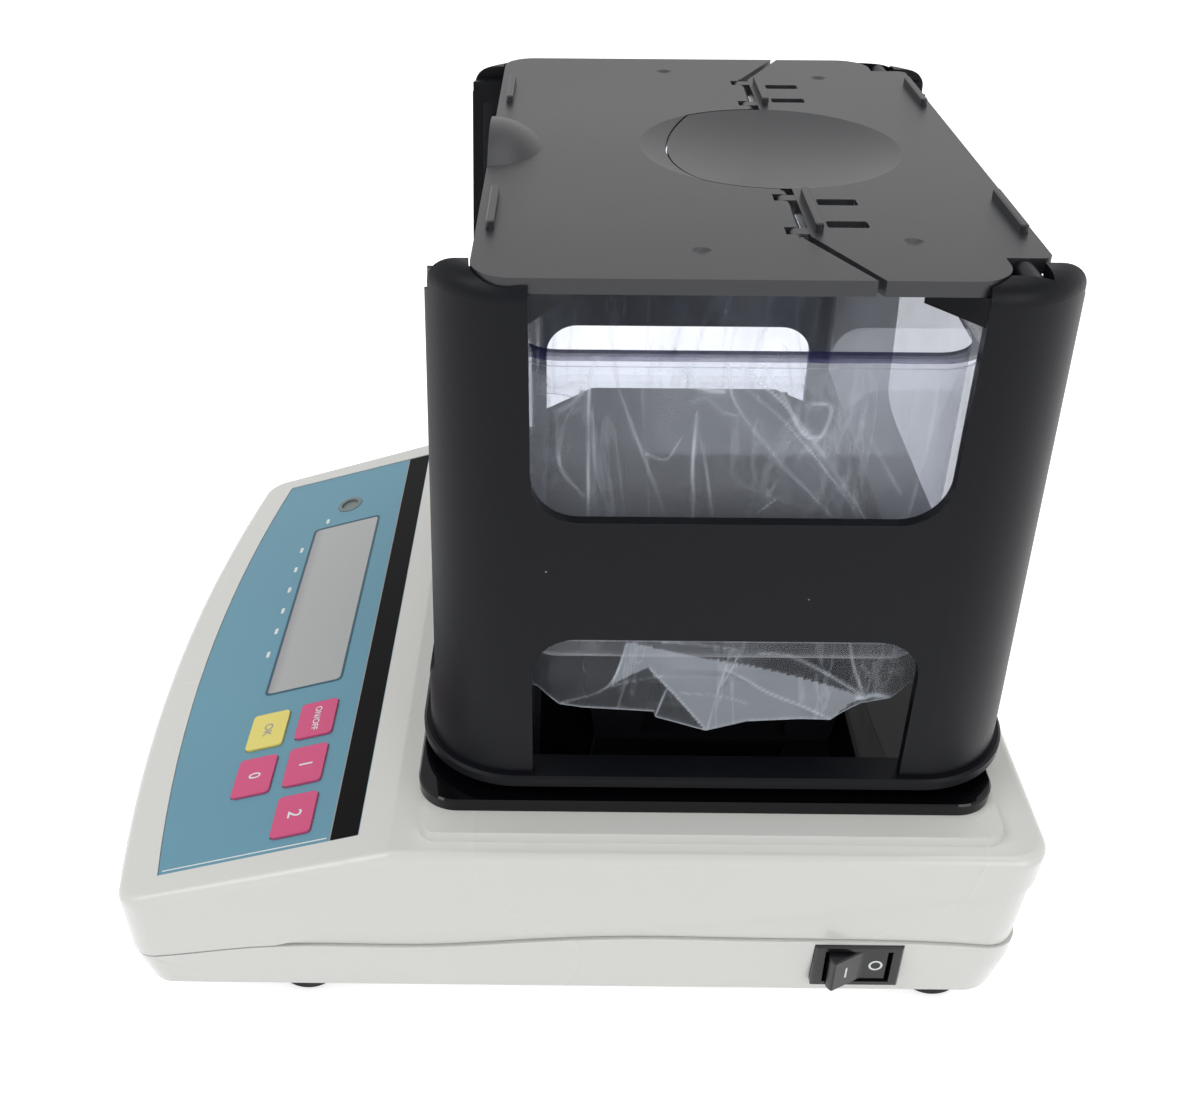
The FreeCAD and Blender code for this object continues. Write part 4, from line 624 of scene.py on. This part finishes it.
# The film is the tank's rounded plan moved along its normal by the slack waves and the creases. s goes
# round the tank from the front end of its right side, and rows from the hem up to the rim. t is s
# measured as y along the right side
def makeFilm(v):
    random = np.random.default_rng(v["seed"])
    w, r = v["halfWidth"], v["radius"]
    depth, cy = (v["rear"] - v["front"]) / 2, (v["rear"] + v["front"]) / 2
    quarter = r * math.pi / 2
    lengths = np.array([2 * (depth - r), quarter, 2 * (w - r), quarter] * 2)
    ends = np.concatenate([[0], np.cumsum(lengths)])
    total = ends[-1]
    leg = np.repeat(np.arange(8), v["columns"])
    share = np.concatenate([np.arange(n) / n for n in v["columns"]])
    part = share * lengths[leg]
    angle = np.where(leg % 2 == 1, part / r, 0) + (leg // 2) * math.pi / 2
    nx, ny = np.cos(angle), np.sin(angle)
    way = np.where(leg % 2 == 0, part - lengths[leg] / 2, 0)
    cornerX = np.array([w, w, -w, -w, -w, -w, w, w])[leg]
    cornerY = np.array([depth, depth, depth, depth, -depth, -depth, -depth, -depth])[leg]
    onCorner = leg % 2 == 1
    x = np.where(onCorner, cornerX - np.sign(cornerX) * r + r * nx, nx * w - ny * way)
    y = np.where(onCorner, cornerY - np.sign(cornerY) * r + r * ny, ny * depth + nx * way)
    s = ends[leg] + part
    t = np.where(s > total - quarter, s - total, s) + v["front"] + r
    loop = s / total * 2 * math.pi
    waves = v["hem"] + sum(high * np.sin(loop * n + shift) for high, n, shift in v["hemRipples"])
    nearHem = np.interp(t, *np.array(hemPoints).T)
    near = ramp(np.minimum(t - hemPoints[0][0], hemPoints[-1][0] - t), 0, v["blendIn"])
    hem = waves + (nearHem - waves) * near
    top = v["top"] + sum(high * np.sin(loop * n + shift) for high, n, shift in v["topRipples"])
    top = top + sum(high * np.exp(-((t - at) / wide) ** 2) for high, at, wide in v["topBumps"])
    rows = np.linspace(0, 1, v["upright"])[:, None]
    z = hem[None, :] + (top - hem)[None, :] * rows
    t = np.broadcast_to(t[None, :], z.shape)
    creaseHighlight, stand = np.zeros_like(z), np.zeros_like(z)
    strays = []  # creases of the other three sides: start, end, width, brightness, rise
    for _ in range(v["strays"]):
        t0, z0 = random.uniform(94, total - 24), random.uniform(100, 166)
        t1, z1 = t0 + random.uniform(-14, 14), z0 - random.uniform(18, 60)
        strays.append((((t0, z0), (t1, z1)), random.uniform(0.5, 0.8), random.uniform(0.12, 0.3), 0.8))
    # each crease paints a highlight line, brighter and dimmer along its length, and raises the sheet
    for points, width, glintStrength, rise in foldLines + strays:
        gap = lineDistance(t, z, smoothLine(points))
        glint = 0.68 + 0.32 * np.sin(0.31 * z + 0.23 * t + 40 * glintStrength)
        creaseHighlight = np.maximum(creaseHighlight, glintStrength * glint * np.exp(-(gap / width) ** 2))
        stand += rise * np.exp(-(gap / v["creaseReach"]))
    milky = ramp(z, 148.6, 1.2) * ramp(t, 12, 9) * ramp(-t, -70, 6)
    haze = np.maximum(insideOutline(t, z, doubled), v["milkyShare"] * milky)
    # a painted highlight along the hem
    edge = np.exp(-((z - hem[None, :]) / v["edgeWidth"]) ** 2) * v["hemHighlightBright"]
    creaseHighlight = np.maximum(creaseHighlight, edge)
    slack = slackWaves(t, z, random, 9) * v["slack"] + 0.5
    below = ramp(-z, -96, 10)  # tucked in under the tank's floor
    over = ramp(z, 166.6, 0.8)  # out over the rim
    push = np.clip(slack + stand * v["creaseOut"], 0.05, v["most"])
    out = np.maximum(push - below * (1.0 + 0.8 * np.sin(loop * 5)[None, :]), over * v["overRim"])
    px = x[None, :] + nx[None, :] * out
    py = y[None, :] + ny[None, :] * out + cy
    points = np.stack([px, py, z], -1).reshape(-1, 3) * mm
    made = meshObject("tankFilm", points, gridFaces(v["upright"], len(s), True), filmClear,
                      "housing")
    for name, values in (("creaseHighlight", creaseHighlight), ("haze", haze)):
        made.data.attributes.new(name, "FLOAT", "POINT").data.foreach_set("value", values.ravel())
    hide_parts("tank_bag")
    print("film made,", len(points), "points")


makeFilm(film)

# a white floor and room to the eye and in reflections, while the light on the object stays plain
studio = {"floor": (0.93, 0.93, 0.94), "floorGlow": 0.62, "halfFloor": 6.0, "world": 0.42,
          "ceiling": 0.35,
          "lamps": {"keyLamp": ((0.5, -0.9, 1.3), 8.0, 0.9), "fillLamp": ((1.1, 0.8, 0.7), 5.0, 0.8),
                    "topLamp": ((-0.2, 0.3, 1.5), 4.5, 1.0)}, "aim": (0, 0, 0.09)}


# 1 for a ray that shows the background itself: to the eye, through glass or in a reflection, where the
# share can be less
def seenRay(tree, mirrored=1.0):
    path = tree.nodes.new("ShaderNodeLightPath")
    eye, gloss, through = (Wire(tree, path.outputs["Is %s Ray" % kind])
                           for kind in ("Camera", "Glossy", "Transmission"))
    return eye.most(gloss * mirrored).most(through)


def makeStudio(v):
    half = v["halfFloor"]
    points = np.array([[-half, -half, 0], [half, -half, 0], [half, half, 0], [-half, half, 0]])
    mesh = bpy.data.meshes.new("floor")
    mesh.from_pydata(points.tolist(), [], [[0, 1, 2, 3]])
    floor = bpy.data.objects.new("floor", mesh)
    scene.collection.objects.link(floor)
    f = Finish("floorWhite", v["floor"], 0.7)
    mesh.materials.append(f.material)
    glow = f.node("ShaderNodeEmission", "Emission", {"Color": (1, 1, 1, 1), "Strength": v["floorGlow"]})
    plain = Wire(f.tree, f.shader.outputs[0])
    both = f.node("ShaderNodeAddShader", "Shader", {0: plain, 1: glow})
    mixed = f.node("ShaderNodeMixShader", "Shader", {0: seenRay(f.tree), 1: plain, 2: both})
    f.tree.links.new(mixed.socket, f.output.inputs["Surface"])
    world = bpy.data.worlds.new("paleRoom")
    scene.world = world
    world.use_nodes = True
    tree = world.node_tree
    background = tree.nodes["Background"]
    background.inputs["Color"].default_value = (1, 1, 1, 1)
    # reflections see a white wall that darkens towards the ceiling
    way = tree.nodes.new("ShaderNodeTexCoord")
    split = tree.nodes.new("ShaderNodeSeparateXYZ")
    tree.links.new(way.outputs["Generated"], split.inputs[0])
    wall = Wire(tree, split.outputs["Z"]).between(0.30, 0.75, 1.0, v["ceiling"])
    strength = seenRay(tree, wall) * (1.0 - v["world"]) + v["world"]
    tree.links.new(strength.socket, background.inputs["Strength"])
    for name, (place, power, width) in v["lamps"].items():
        data = bpy.data.lights.new(name, "AREA")
        data.energy = power
        data.size = width
        lamp = bpy.data.objects.new(name, data)
        lamp.location = place
        lamp.rotation_mode = "QUATERNION"
        lamp.rotation_quaternion = (Vector(v["aim"]) - Vector(place)).to_track_quat("-Z", "Y")
        scene.collection.objects.link(lamp)
    print("studio lit")


makeStudio(studio)
